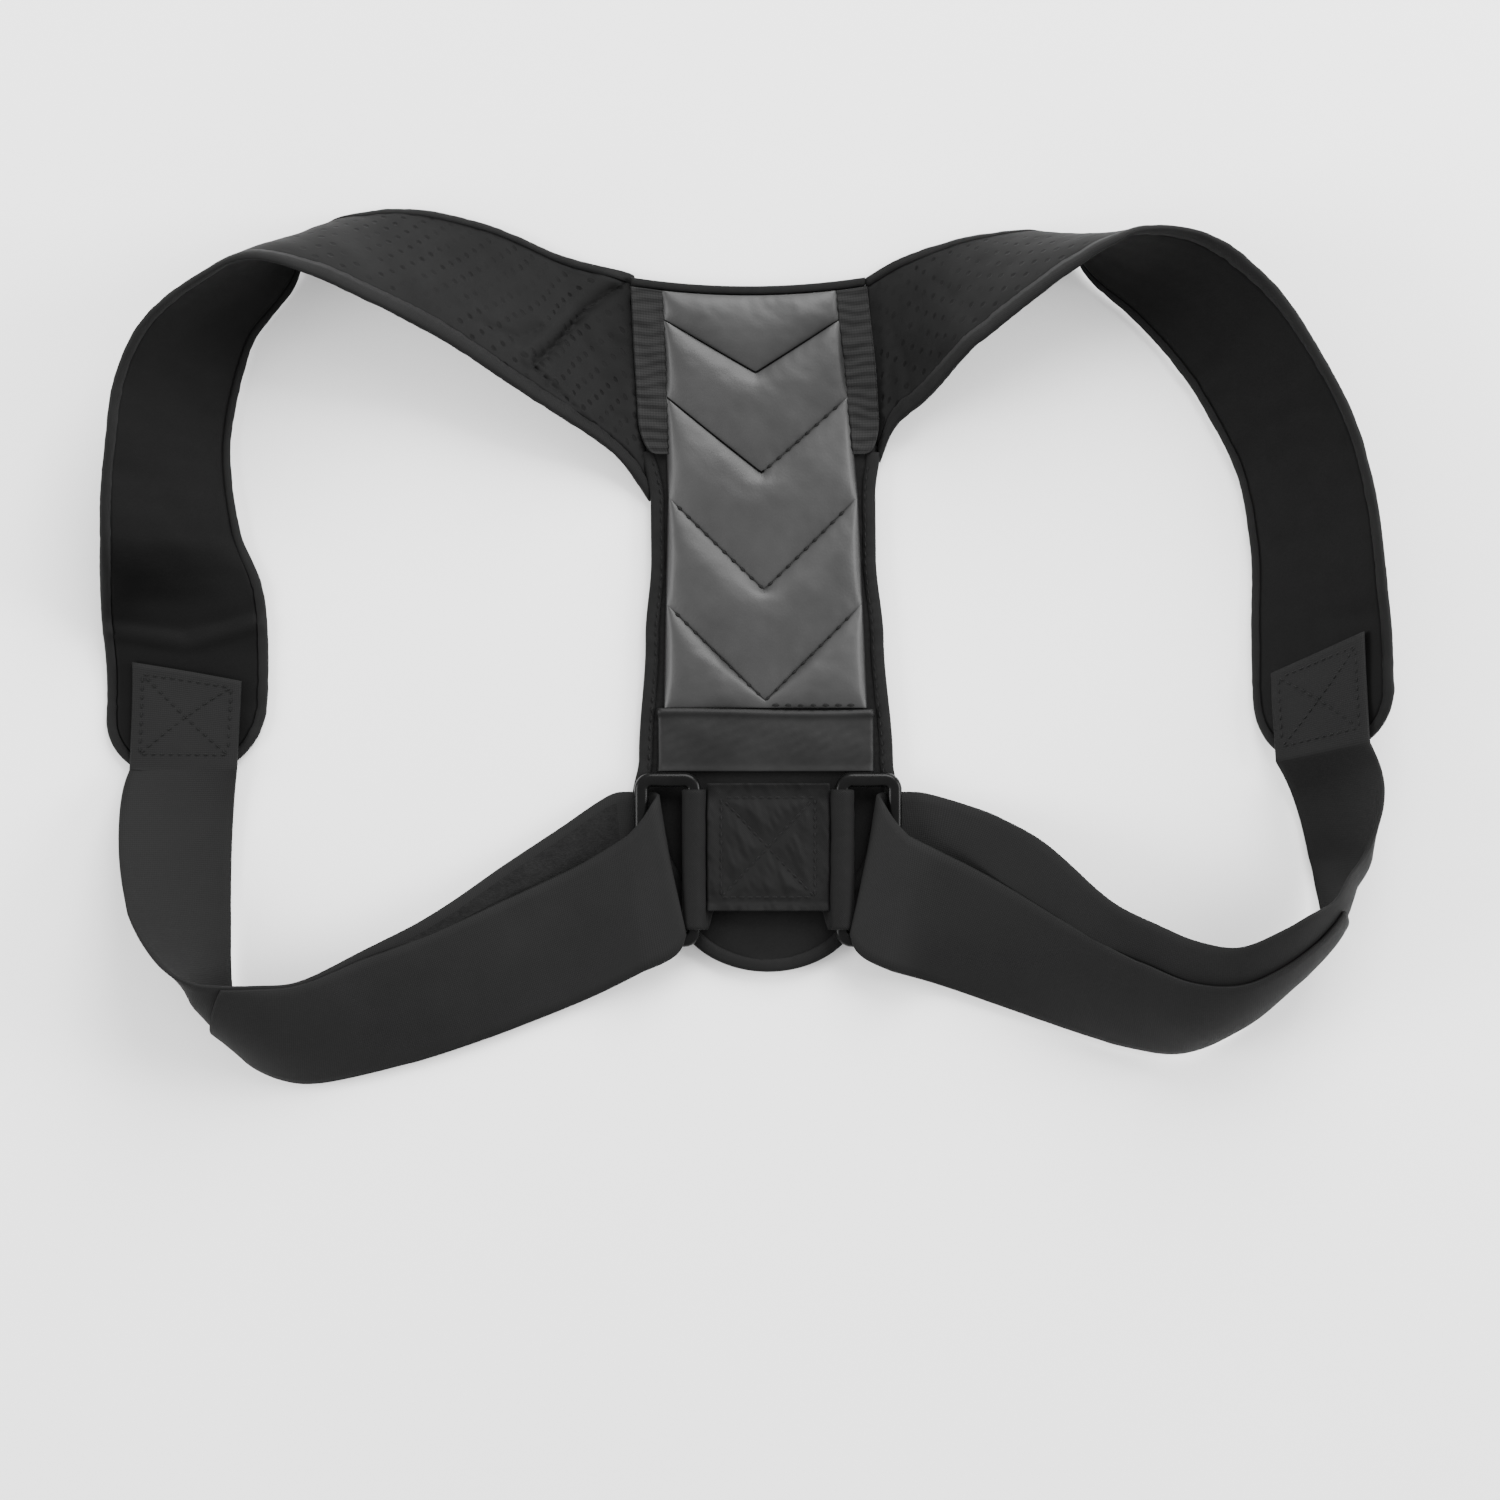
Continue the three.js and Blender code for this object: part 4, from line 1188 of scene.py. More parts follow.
    def cover_height(self, across: Array, ups: Array, shares: Array, fulls: Array) -> Array:
        """Height of the cover's face above its base, with its puffs, puckers and soft dents.

        Args:
            across: shares across, from -1 to 1.
            ups: heights up the panel.
            shares: shares up each field.
            fulls: fullness of each field.

        Returns:
            The heights.
        """
        edge = (1 - np.abs(across) ** 8) ** 0.5
        arch = np.sin(math.pi * shares)
        puff = self.cover_bulge * fulls * edge * arch ** self.puff_power
        near_seams = np.exp(-shares * self.pucker_reach) + np.exp(-(1 - shares) * self.pucker_reach)
        pucker = near_seams * np.sin(across * 40 + 2.2 * np.sin(ups * 0.21)) * self.pucker_depth
        pucker = pucker * np.where(across > -0.15, 1.0, 0.35) * arch ** 0.5
        x = across * 38
        dents = self.dent_depth * ripples(x, ups, 17, 11) + self.fine_dent_depth * ripples(x, ups, 6, 12)
        return puff + fulls * (pucker + dents * arch ** 0.5 * edge)

    def cover(self) -> Piece:
        """The quilted leather cover, with painted seam shade: a darker leather along its two upper seams.

        Returns:
            The cover.
        """
        across, ups, shares, fulls = self.cover_fields()
        x = self.shape.middle(ups.ravel()).reshape(ups.shape) + self.cover_half(ups) * across
        base = self.shape.deck
        top = base + self.cover_edge + self.cover_height(across[None, :], ups, shares, fulls)
        grid = np.dstack([x, ups, (top + base) / 2])
        rows, last = self.field_rows, self.cover_columns - 1
        # Painted seam shade: rows along the two upper seams take a darker leather that stands in for the
        # shade in their grooves
        seams = [(slice(rows * number - 2, rows * number + 2), columns, self.wardrobe.seam)
                 for number, columns in ((4, slice(0, last)), (3, slice(last // 2 - 1, last)))]
        skin = upright(Skin(grid, (top - base) / 2))
        piece = skin.build("quilted_cover", self.wardrobe.leather, None, seams)
        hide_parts("spine_cover")
        return piece

    def cover_stitches(self) -> Piece:
        """Stitches along the chevron seams and the seam at the cover's foot.

        Returns:
            The stitches.
        """
        shape = self.shape
        face = shape.deck + self.cover_edge
        rows = StitchRow("chevron_stitches", length=2.9, gap=2.1, radius=0.62)
        lines = []
        for (up, dip), span in zip(self.seams, self.sewn_spans):
            across = np.linspace(*span, 60)
            share = up - dip * (1 - np.abs(across))
            lines.append((across, self.cover_bottom + self.cover_length * share, 0.15))
        across = np.linspace(*self.foot_span, 40)
        lines.append((across, np.full_like(across, self.cover_bottom + 1.1), 0.9))
        for across, heights, lift in lines:
            x = shape.middle(heights) + self.cover_half(heights) * across
            rows.add_level(np.stack([x, heights, np.full_like(x, face + lift)], axis=1))
        piece = rows.build(self.wardrobe.thread)
        return piece

    def band(self) -> Piece:
        """The plain band below the cover, with a rolled lip along its top.

        Returns:
            The band.
        """
        shape = self.shape
        top_up = self.cover_bottom - shape.gap
        heights = np.linspace(top_up - self.band_length, top_up, 60)
        across = np.linspace(-1, 1, 70)
        share = ((heights - heights[0]) / self.band_length)[:, None]
        ups = heights[:, None] - self.band_skew * np.sin(across * 2.6 + 0.4)[None, :] * share
        x = shape.middle(ups.ravel()).reshape(ups.shape) + self.band_width / 2 * across
        base = shape.deck
        lip = self.band_lip * np.exp(-((1 - share) * self.band_length / 1.6 - 1) ** 2)
        sag = self.band_sag * np.sin(math.pi * share) * (1 - across ** 4)
        low_edge = 0.5 * np.exp(-(share * self.band_length / 2) ** 2)
        rough = 0.22 * ripples(x, ups, 14, 21) + 0.1 * ripples(x, ups, 5, 22)
        rough = rough * np.sin(math.pi * np.clip(share, 0.05, 0.95))
        top = base + self.band_thickness + sag + lip + low_edge + rough
        grid = np.dstack([x, ups, (top + base) / 2])
        piece = upright(Skin(grid, (top - base) / 2)).build("plain_band", self.wardrobe.plain_leather)
        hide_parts("pocket_band")
        return piece

    def side_tape(self, side: Side) -> Piece:
        """A ribbed tape over the seam between the cover and a shoulder pad.

        Args:
            side: the side of the panel.

        Returns:
            The tape.
        """
        shape = self.shape
        share = np.linspace(0, 1, 150)[:, None]
        across = np.linspace(0, 1, 22)[None, :]
        top = shape.length
        inner_top = shape.middle(top) + side.value * (float(self.cover_half(np.array(top))) + shape.gap)
        outer_top = shape.middle(top) + side.value * (shape.half(top) - self.tape_inset)
        edge = mix(shape.top_edge(inner_top), shape.top_edge(outer_top), across)
        edge = edge - shape.top_binding_width - shape.gap
        heights = mix(self.corner_up + shape.gap, edge, share)
        flat = heights.ravel()
        inner = (self.cover_half(flat) + shape.gap).reshape(heights.shape)
        outer = (shape.half(flat) - self.tape_inset).reshape(heights.shape)
        corner_in, corner_rise = self.tape_corner
        low = np.clip(1 - (heights - self.corner_up - shape.gap) / corner_rise, 0, 1)
        outer = outer - corner_in * (1 - np.sqrt(1 - low * low))
        x = shape.middle(flat).reshape(heights.shape) + side.value * mix(inner, outer, across)
        gathers = np.sin(heights * 1.5 + 1.8 * ripples(x, heights, 18, 31)) * 0.4 * (1 - share * 0.4)
        crumple = 0.4 * ripples(x * 0.6, heights, 8, 33 + side.value)
        edges = 0.35 * (np.exp(-(across / 0.08) ** 2) + np.exp(-((1 - across) / 0.08) ** 2))
        relief = np.clip(gathers + crumple + edges, -0.5, 0.9)
        middle = shape.deck + self.tape_thickness / 2 + self.tape_lift + relief
        skin = upright(Skin(np.dstack([x, heights, middle]), np.full(middle.shape, self.tape_thickness / 2)))
        piece = skin.build(f"{side.word}_ribbed_tape", self.wardrobe.tape)
        skin.declare(piece, "laid", ["padded_backing"])
        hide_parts(f"{side.word}_side_tape")
        return piece

    def _binding(self, name: str, outer: Array, inner: Array, seed: int) -> Piece:
        """A soft folded binding between two lines in plan.

        Args:
            name: the piece's name.
            outer: the outer line's points.
            inner: the inner line's points.
            seed: which ripples it has.

        Returns:
            The binding.
        """
        low, high = self.shape.floor_gap, self.shape.top_face
        share = np.array([0.3, 0.08, 0.0, 0.0, 0.08, 0.3, 0.6, 0.9, 1.0, 1.0, 0.9])
        level = np.array([0.0, 0.08, 0.25, 0.75, 0.93, 1.0, 1.0, 0.97, 0.85, 0.1, 0.0])
        steps = run_lengths(outer)
        wave = 0.16 * ripples(steps, 0 * steps, 7, seed) + 0.1 * ripples(steps, 0 * steps, 3, seed + 1)
        plan = mix(outer[:, None], inner[:, None], share[None, :, None])
        z = mix(low, high, level)[None, :] + wave[:, None] * (level > 0.8)[None, :]
        sections = np.dstack([plan[..., 0], plan[..., 1], z])
        size = [self.shape.binding_width, self.shape.thickness]
        width = run_lengths(np.stack([share, level], axis=1) * size)
        strip = np.stack(np.broadcast_arrays(width[None, :], steps[:, None]), axis=2)
        return tube_mesh(name, sections, strip, self.wardrobe.binding)

    def top_binding(self) -> Piece:
        """The binding across the dipped top edge.

        Returns:
            The binding.
        """
        shape = self.shape
        reach = shape.half(shape.length) - shape.gap / 2
        x = shape.middle(shape.length) + reach * np.linspace(-1, 1, 90)
        outer = np.stack([x, shape.top_edge(x)], axis=1)
        inner = outer - [0, shape.top_binding_width]
        piece = self._binding("top_edge_binding", outer, inner, 41)
        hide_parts("top_binding")
        return piece

    def lower_binding(self) -> Piece:
        """The binding down both sides and round the tongue.

        Returns:
            The binding.
        """
        outline = self.shape.outline(200, 90)
        inner = self.shape.inset(outline, self.shape.binding_width)
        kept = outline[:, 1] < self.corner_up + 1.5
        piece = self._binding("side_and_tongue_binding", outline[kept], inner[kept], 43)
        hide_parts("lower_binding")
        return piece

    def binding_stitches(self) -> Piece:
        """The stitches that hold the side binding between the rings and the pads.

        Returns:
            The stitches.
        """
        outline = self.shape.outline(200, 90)
        line = self.shape.inset(outline, self.shape.binding_width * 0.78)
        between = (outline[:, 1] < self.corner_up - 2) & (outline[:, 1] > 78)
        rows = StitchRow("binding_stitches", length=2.4, gap=1.4, radius=0.3)
        for one_side in (outline[:, 0] < 0, outline[:, 0] > 5):
            chosen = line[one_side & between]
            rows.add_level(np.column_stack([chosen, np.full(len(chosen), self.shape.top_face + 0.1)]))
        piece = rows.build(self.wardrobe.thread)
        return piece


# The shoulder loops and the rings


@dataclass(frozen=True)
class Section:
    """A section of a loop, standing on its neck edge.

    `out` and `up` place its neck edge as shares of the loop's reach and rise, `face` is the way
    to its armhole edge in plan in degrees, `lean` the degrees it rises, `wide` its share of the
    width, `bulge` its sag and `shift` how far the layer below a fold is moved to the armhole.
    """

    out: float
    up: float
    face: float
    lean: float
    wide: float
    bulge: float
    shift: float = 0.0


def sections(*rows: tuple[float, ...]) -> tuple[Section, ...]:
    """Sections from rows of their values."""
    return tuple(Section(*row) for row in rows)


LEFT_PAD = sections(
    (0.026, 1.004, -90, 3, 1.27, 0), (0.159, 1.038, -104, 8, 1.27, 0),
    (0.305, 1.093, -102, 22, 1.16, 0.02), (0.415, 1.115, -100, 34, 1.02, 0.04),
    (0.516, 1.11, -97, 53, 1, 0.05),
    (0.578, 1.091, -76, 68, 1, 0.06), (0.622, 1.045, -17, 70, 1, 0.06),
    (0.648, 0.985, 2, 59, 1, 0.06), (0.718, 0.895, 8, 51, 1, 0.05),
    (0.751, 0.794, 7, 44, 1, 0.04), (0.763, 0.691, -4, 43, 1, 0.03),
    (0.748, 0.571, -8, 34, 1, 0.02), (0.704, 0.468, -9, 6, 1.02, 0),
    (0.693, 0.348, -7, 0, 1.02, 0), (0.702, 0.149, -2, 0, 1, 0),
)
RIGHT_PAD = sections(
    (0.03, 1.022, -88, 5, 1.04, 0), (0.081, 1.041, -86, 20, 0.99, 0.01),
    (0.167, 1.065, -87, 42, 1, 0.03), (0.254, 1.075, -79, 59, 0.98, 0.04),
    (0.321, 1.075, -66, 70, 0.98, 0.05), (0.377, 1.052, -11, 77, 1, 0.05),
    (0.417, 1.0, 38, 66, 1, 0.05), (0.509, 0.923, 47, 49, 1, 0.04),
    (0.581, 0.854, 41, 43, 1, 0.03), (0.638, 0.777, 30, 42, 1, 0.03),
    (0.7, 0.666, 22, 41, 1, 0.03), (0.728, 0.537, 14, 39, 1, 0.03),
    (0.731, 0.4, 6, 35, 1, 0.02), (0.733, 0.288, 6, 33, 1, 0),
    (0.742, 0.151, 12, 32, 1, 0),
)
LEFT_STRAP = sections(
    (0.759, 0.108, 2, 10, 0.9, 0), (0.766, -0.003, -3, 28, 0.97, 0.03),
    (0.766, -0.106, -3, 44, 1, 0.05), (0.767, -0.187, -2, 64, 1, 0.08),
    (0.764, -0.25, 38, 72, 1, 0.18), (0.768, -0.29, 92, 68, 1, 0.18),
    (0.726, -0.348, 98, 50, 1, 0.12), (0.633, -0.381, 89, 37, 1, 0.08),
    (0.459, -0.352, 76, 26, 1, 0.04, 0.05), (0.314, -0.314, 72, 22, 1, 0.02, 0.15),
    (0.17, -0.259, 72, 10, 1, 0, 0.24), (0.09, -0.232, 77, 6, 1, 0, 0.36),
)
RIGHT_STRAP = sections(
    (0.808, 0.125, 6, 38, 0.92, 0.06), (0.829, 0.07, 6, 50, 1, 0.15),
    (0.844, 0.005, 1, 62, 1, 0.25), (0.85, -0.048, 22, 75, 1, 0.18, 0.04),
    (0.848, -0.125, 66, 75, 1, 0.14, 0.15), (0.812, -0.185, 82, 70, 1, 0.13, 0.3),
    (0.765, -0.228, 87, 67, 1, 0.14, 0.33), (0.705, -0.285, 95, 60, 1, 0.14, 0.33),
    (0.604, -0.327, 89, 46, 1, 0.14, 0.33), (0.496, -0.319, 80, 41, 1, 0.1, 0.33),
    (0.352, -0.281, 66, 38, 1, 0.08, 0.35), (0.171, -0.223, 62, 24, 1, 0.03, 0.46),
    (0.09, -0.2, 66, 12, 1, 0.01, 0.44),
)
# Turn round a ring's outer bar: armhole edge out and up, neck edge out and up, and level
STRAP_TURN = np.array([
    [0.2, 0.53, 0.12, -0.48, -1], [0.0, 0.53, -0.17, -0.52, -1], [-0.13, 0.52, -0.28, -0.53, 0],
    [-0.1, 0.46, -0.35, -0.6, 1], [0.0, 0.3, -0.28, -0.75, 1.15], [0.15, 0.14, 0.08, -0.92, 1.1],
])


def arc_half_angle(bulge: Array | float) -> Array | float:
    """Half the angle that a section's arc turns through, from its sag as a share of its width."""
    turn = 4 * bulge
    return turn * (1 + turn * turn / 12)


@dataclass
class Ribbon:
    """A long band: its neck edge, armhole edge, arc and shift at each station."""

    neck: Array
    arm: Array
    half: Array
    shift: Array
    normal: Array
    length: Array

    def since(self, start: int) -> "Ribbon":
        """The band's stations from one of them on."""
        blocks = (self.neck, self.arm, self.half, self.shift, self.normal, self.length)
        return Ribbon(*(block[start:] for block in blocks))

    def at(self, length: Array) -> "Ribbon":
        """The band's stations at other lengths.

        Args:
            length: mm along the band.

        Returns:
            A band with one station for each length.
        """
        wanted = np.clip(length, 0, self.length[-1])
        lines = [np.stack([np.interp(wanted, self.length, block[:, k]) for k in range(3)], axis=1)
                 for block in (self.neck, self.arm, self.normal)]
        values = [np.interp(wanted, self.length, block) for block in (self.half, self.shift)]
        return Ribbon(lines[0], lines[1], values[0], values[1], unit(lines[2]), wanted)

    def points(self, shares: Array) -> Array:
        """Points across each station.

        Args:
            shares: shares across, for every station or for each its own row.

        Returns:
            The points, by station and share.
        """
        shares = np.broadcast_to(shares, (len(self.neck), np.shape(shares)[-1]))
        chord = self.arm - self.neck
        width = np.linalg.norm(chord, axis=1)
        half = np.maximum(self.half, 1e-4)
        radius = (width / (2 * np.sin(half)))[:, None]
        angle = half[:, None] * (2 * shares - 1)
        rise = radius * (np.cos(angle) - np.cos(half)[:, None])
        middle = (self.neck + self.arm) / 2
        return (middle[:, None] + unit(chord)[:, None] * (radius * np.sin(angle))[..., None]
                + self.normal[:, None] * rise[..., None])


@dataclass
class LoopShape:
    """The route of one shoulder loop."""

    side: Side
    panel: PanelShape
    rings: RingSizes
    pad_rows: tuple[Section, ...]
    strap_rows: tuple[Section, ...]
    reach: float
    folded_from: int
    pad_width: float = 64
    pad_thickness: float = 4
    edge_share: float = 0.6
    start_inset: float = 0.2
    seam_share: float = 1.16
    strap_width: float = 50
    strap_thickness: float = 1.6

    @property
    def rise(self) -> float:
        """From the rings' middle to the panel's top."""
        return self.panel.length - self.rings.up

    def section_ends(self, row: Section, width: float, foot: float) -> tuple[Array, Array]:
        """The neck and armhole ends of a section.

        Args:
            row: the section.
            width: the band's width.
            foot: height of the neck edge.

        Returns:
            The two points.
        """
        face, lean = math.radians(row.face), math.radians(row.lean)
        half = arc_half_angle(row.bulge)
        shortening = math.sin(half) / half if half > 0.01 else 1.0
        chord = width * (row.wide + row.shift) * shortening
        flat = chord * math.cos(lean)
        neck = np.array([self.side.value * (self.panel.waist_width / 2 + row.out * self.reach),
                         self.rings.up + row.up * self.rise, foot])
        arm = neck + [self.side.value * flat * math.cos(face), flat * math.sin(face), chord * math.sin(lean)]
        return neck, arm

    def _ribbon(self, ends: list[tuple[Array, Array]], bulges: list[float], shifts: list[float],
                steps: int) -> Ribbon:
        """Smooth stations through a band's sections.

        Args:
            ends: the neck and armhole ends of each section.
            bulges: the sag of each section as a share of its width.
            shifts: how far the layer below a fold is moved at each section.
            steps: steps from one section to the next.

        Returns:
            The band.
        """
        params = np.linspace(0, len(ends) - 1, (len(ends) - 1) * steps + 1)
        neck = smooth_line(np.array([end[0] for end in ends]), params)
        arm = smooth_line(np.array([end[1] for end in ends]), params)
        places = np.arange(len(ends))
        half = arc_half_angle(np.interp(params, places, bulges))
        shift = np.interp(params, places, shifts)
        middle = (neck + arm) / 2
        normal = unit(np.cross(np.gradient(middle, axis=0), arm - neck)) * -self.side.value
        return Ribbon(neck, arm, half, shift, normal, run_lengths(middle))

    def pad(self, steps: int = 10) -> Ribbon:
        """The sheet that the shoulder pad and its binding follow.

        Args:
            steps: steps from one section to the next.

        Returns:
            The sheet, from the panel to the pad's rounded end.
        """
        start_up = self.panel.length - self.start_inset
        corner_up = start_up - self.seam_share * self.pad_width
        foot = self.panel.thickness - self.pad_thickness / 2 - self.panel.gap
        start = []
        for up, off in ((start_up, 0), (corner_up, self.panel.gap)):
            out = self.panel.middle(up) + self.side.value * (self.panel.half(up) + off)
            start.append(np.array([out, up, foot]))
        low = self.panel.floor_gap + self.pad_thickness * self.edge_share / 2 + self.panel.raise_
        ends = [tuple(start)] + [self.section_ends(row, self.pad_width, low) for row in self.pad_rows]
        bulges = [0.0] + [row.bulge for row in self.pad_rows]
        return self._ribbon(ends, bulges, [0.0] * len(ends), steps)

    def strap(self, steps: int = 12) -> Ribbon:
        """The sheet that the strap's layers follow.

        Args:
            steps: steps from one section to the next.

        Returns:
            The sheet, from the pad's end to the ring.
        """
        foot = self.panel.floor_gap + self.strap_thickness + self.panel.gap / 2
        ends = [self.section_ends(row, self.strap_width, foot) for row in self.strap_rows]
        return self._ribbon(ends, [row.bulge for row in self.strap_rows],
                            [row.shift for row in self.strap_rows], steps)


@dataclass
class ShoulderPad:
    """A padded shoulder strap and its edge binding."""

    shape: LoopShape
    wardrobe: Wardrobe
    folds: tuple[Fold, ...]
    end_radius: float = 26
    binding_width: float = 4
    armhole_binding_width: float = 7
    seam_gap: float = 0.3
    columns: int = 45
    row_step: float = 1.6
    edge_step: float = 1.5
    calm_length: float = 12
    sag_depth: float = 0.55
    wrinkle_depth: float = 0.16
    seam_wrinkle_depth: float = 0.28
    seam_reach: float = 22

    def build(self) -> list[Piece]:
        """Builds the pad and its binding.

        Returns:
            The two pieces.
        """
        self.ribbon = self.shape.pad()
        self.total = float(self.ribbon.length[-1])
        return [self.pad(), self.binding()]

    def _inset(self, length: Array, inset: float) -> Array:
        """How far the rounded end pulls the edges in.

        Args:
            length: mm along the pad.
            inset: how far inside the pad's edge the line runs.

        Returns:
            Millimetres in from the sheet's edges at each length.
        """
        radius = self.end_radius - inset
        past = np.clip(length - (self.total - self.end_radius), 0, radius)
        return inset + radius - np.sqrt(np.maximum(0, radius ** 2 - past ** 2))

    def _armhole_extra(self, length: Array) -> Array:
        """How much wider the binding is along the armhole, which is only near the panel."""
        share = np.clip((length / self.total - 0.4) / 0.2, 0, 1)
        return (self.armhole_binding_width - self.binding_width) * (1 - share * share * (3 - 2 * share))

    def lift(self, length: Array, share: Array, width: Array) -> Array:
        """Heights that folds and ripples add to the pad's sheet.

        Args:
            length: mm along the pad.
            share: shares across it.
            width: its width at each place.

        Returns:
            The heights.
        """
        seed = 50 + self.shape.side.value
        across = share * width
        to_end = np.minimum(length, self.total - length)
        total = self.sag_depth * ripples(across * 0.6, length, 46, seed)
        total = total + self.wrinkle_depth * ripples(across, length, 13, seed + 5)
        near_seam = self.seam_wrinkle_depth * np.exp(-length / self.seam_reach)
        total = total + near_seam * ripples(across, length * 0.5, 6.5, seed + 9)
        for fold in self.folds:
            total = total + fold.lift(length, across, share, width)
        return total * np.clip(to_end / self.calm_length, 0, 1)

    def pad(self) -> Piece:
        """The pad: perforated outside, smooth inside.

        Returns:
            The pad.
        """
        inset = self.binding_width + self.seam_gap
        straight = self.total - self.end_radius
        radius = self.end_radius - inset
        lengths = np.concatenate([
            np.arange(0, straight, self.row_step),
            straight + radius * np.sin(np.linspace(0, math.pi / 2, 22))])
        ribbon = self.ribbon.at(lengths)
        width = np.linalg.norm(ribbon.arm - ribbon.neck, axis=1)[:, None]
        edge = self._inset(lengths, inset)[:, None] / width
        unit_share = np.linspace(0, 1, self.columns)[None, :]
        share = mix(edge, 1 - edge - self._armhole_extra(lengths)[:, None] / width, unit_share)
        grid = ribbon.points(share)
        if self.shape.side is Side.RIGHT:
            grid = grid[:, ::-1]
            share = share[:, ::-1]
        flip = Skin(grid, np.ones(grid.shape[:2]))
        outward = np.einsum("ijk,ik->ij", flip.normals(), ribbon.normal).mean() > 0
        skin = flip if outward else Skin(grid[:, ::-1], np.ones(grid.shape[:2]))
        share = share if outward else share[:, ::-1]
        half = self.shape.pad_thickness / 2 * mix(1, self.shape.edge_share, np.abs(2 * unit_share - 1) ** 5)
        skin = skin.moved(self.lift(lengths[:, None], share, width))
        skin.half = np.broadcast_to(half, grid.shape[:2]).copy()
        name = f"{self.shape.side.word}_padded_strap"
        piece = skin.build(name, self.wardrobe.perforated, self.wardrobe.lining)
        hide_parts(f"{self.shape.side.word}_shoulder_pad")
        return piece

    def _edge_line(self) -> tuple[Array, Array, Array]:
        """The way round the pad's edge: out by the neck, round the end and back by the armhole.

        Returns:
            Lengths along the pad, the turn round its end in radians, and 1 by the armhole or else 0.
        """
        straight = self.total - self.end_radius
        turn = np.linspace(0, math.pi / 2, 26)
        out = np.concatenate([
            np.arange(0, straight, self.edge_step), straight + self.end_radius * np.sin(turn)])
        slope = np.concatenate([np.zeros(len(out) - len(turn)), turn])
        lengths = np.concatenate([out, out[::-1][1:]])
        turns = np.concatenate([slope, slope[::-1][1:]])
        armhole = np.concatenate([np.zeros(len(out)), np.ones(len(out) - 1)])
        return lengths, turns, armhole

    def _edge_points(self, depth: float, lift: float) -> Array:
        """Points along the pad's edge.

        Args:
            depth: how far in from the edge they are.
            lift: how far from the pad's sheet they are.

        Returns:
            One point for each place of the edge line.
        """
        lengths, turns, armhole = self._edge_line()
        depth = depth * (1 + armhole * self._armhole_extra(lengths) / self.binding_width)
        at = lengths - depth * np.sin(turns)
        ribbon = self.ribbon.at(at)
        width = np.linalg.norm(ribbon.arm - ribbon.neck, axis=1)
        pull = self.end_radius * (1 - np.cos(turns))
        inset = (pull + depth * np.cos(turns)) / width
        share = np.where(armhole > 0, 1 - inset, inset)
        points = ribbon.points(share[:, None])[:, 0]
        extra = self.lift(at[:, None], share[:, None], width[:, None])[:, 0]
        return points + ribbon.normal * (lift + extra)[:, None]

    def binding(self) -> Piece:
        """The soft tape folded over the pad's edge.

        Returns:
            The binding.
        """
        half = self.shape.pad_thickness * self.shape.edge_share / 2 + self.shape.panel.raise_
        deep = self.binding_width
        upper = [(deep, 0.96), (deep * 0.55, 1.05), (deep * 0.25, 0.92), (deep * 0.06, 0.55)]
        section = [*upper, (0.0, 0.0), *((depth, -lift) for depth, lift in reversed(upper))]
        rings = [self._edge_points(depth, lift * half) for depth, lift in section]
        sections = np.stack(rings, axis=1)
        steps = run_lengths(rings[len(upper)])
        middle = sections.mean(axis=1, keepdims=True)
        swell = 1 + 0.05 * ripples(steps, 0 * steps, 6, 61) + 0.03 * ripples(steps, 0 * steps, 2.6, 62)
        sections = middle + (sections - middle) * swell[:, None, None]
        width = run_lengths(np.array(section) * [1, half])
        strip = np.stack(np.broadcast_arrays(width[None, :], steps[:, None]), axis=2)
        piece = tube_mesh(f"{self.shape.side.word}_edge_binding", sections, strip, self.wardrobe.binding)
        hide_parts(f"{self.shape.side.word}_pad_binding")
        return piece


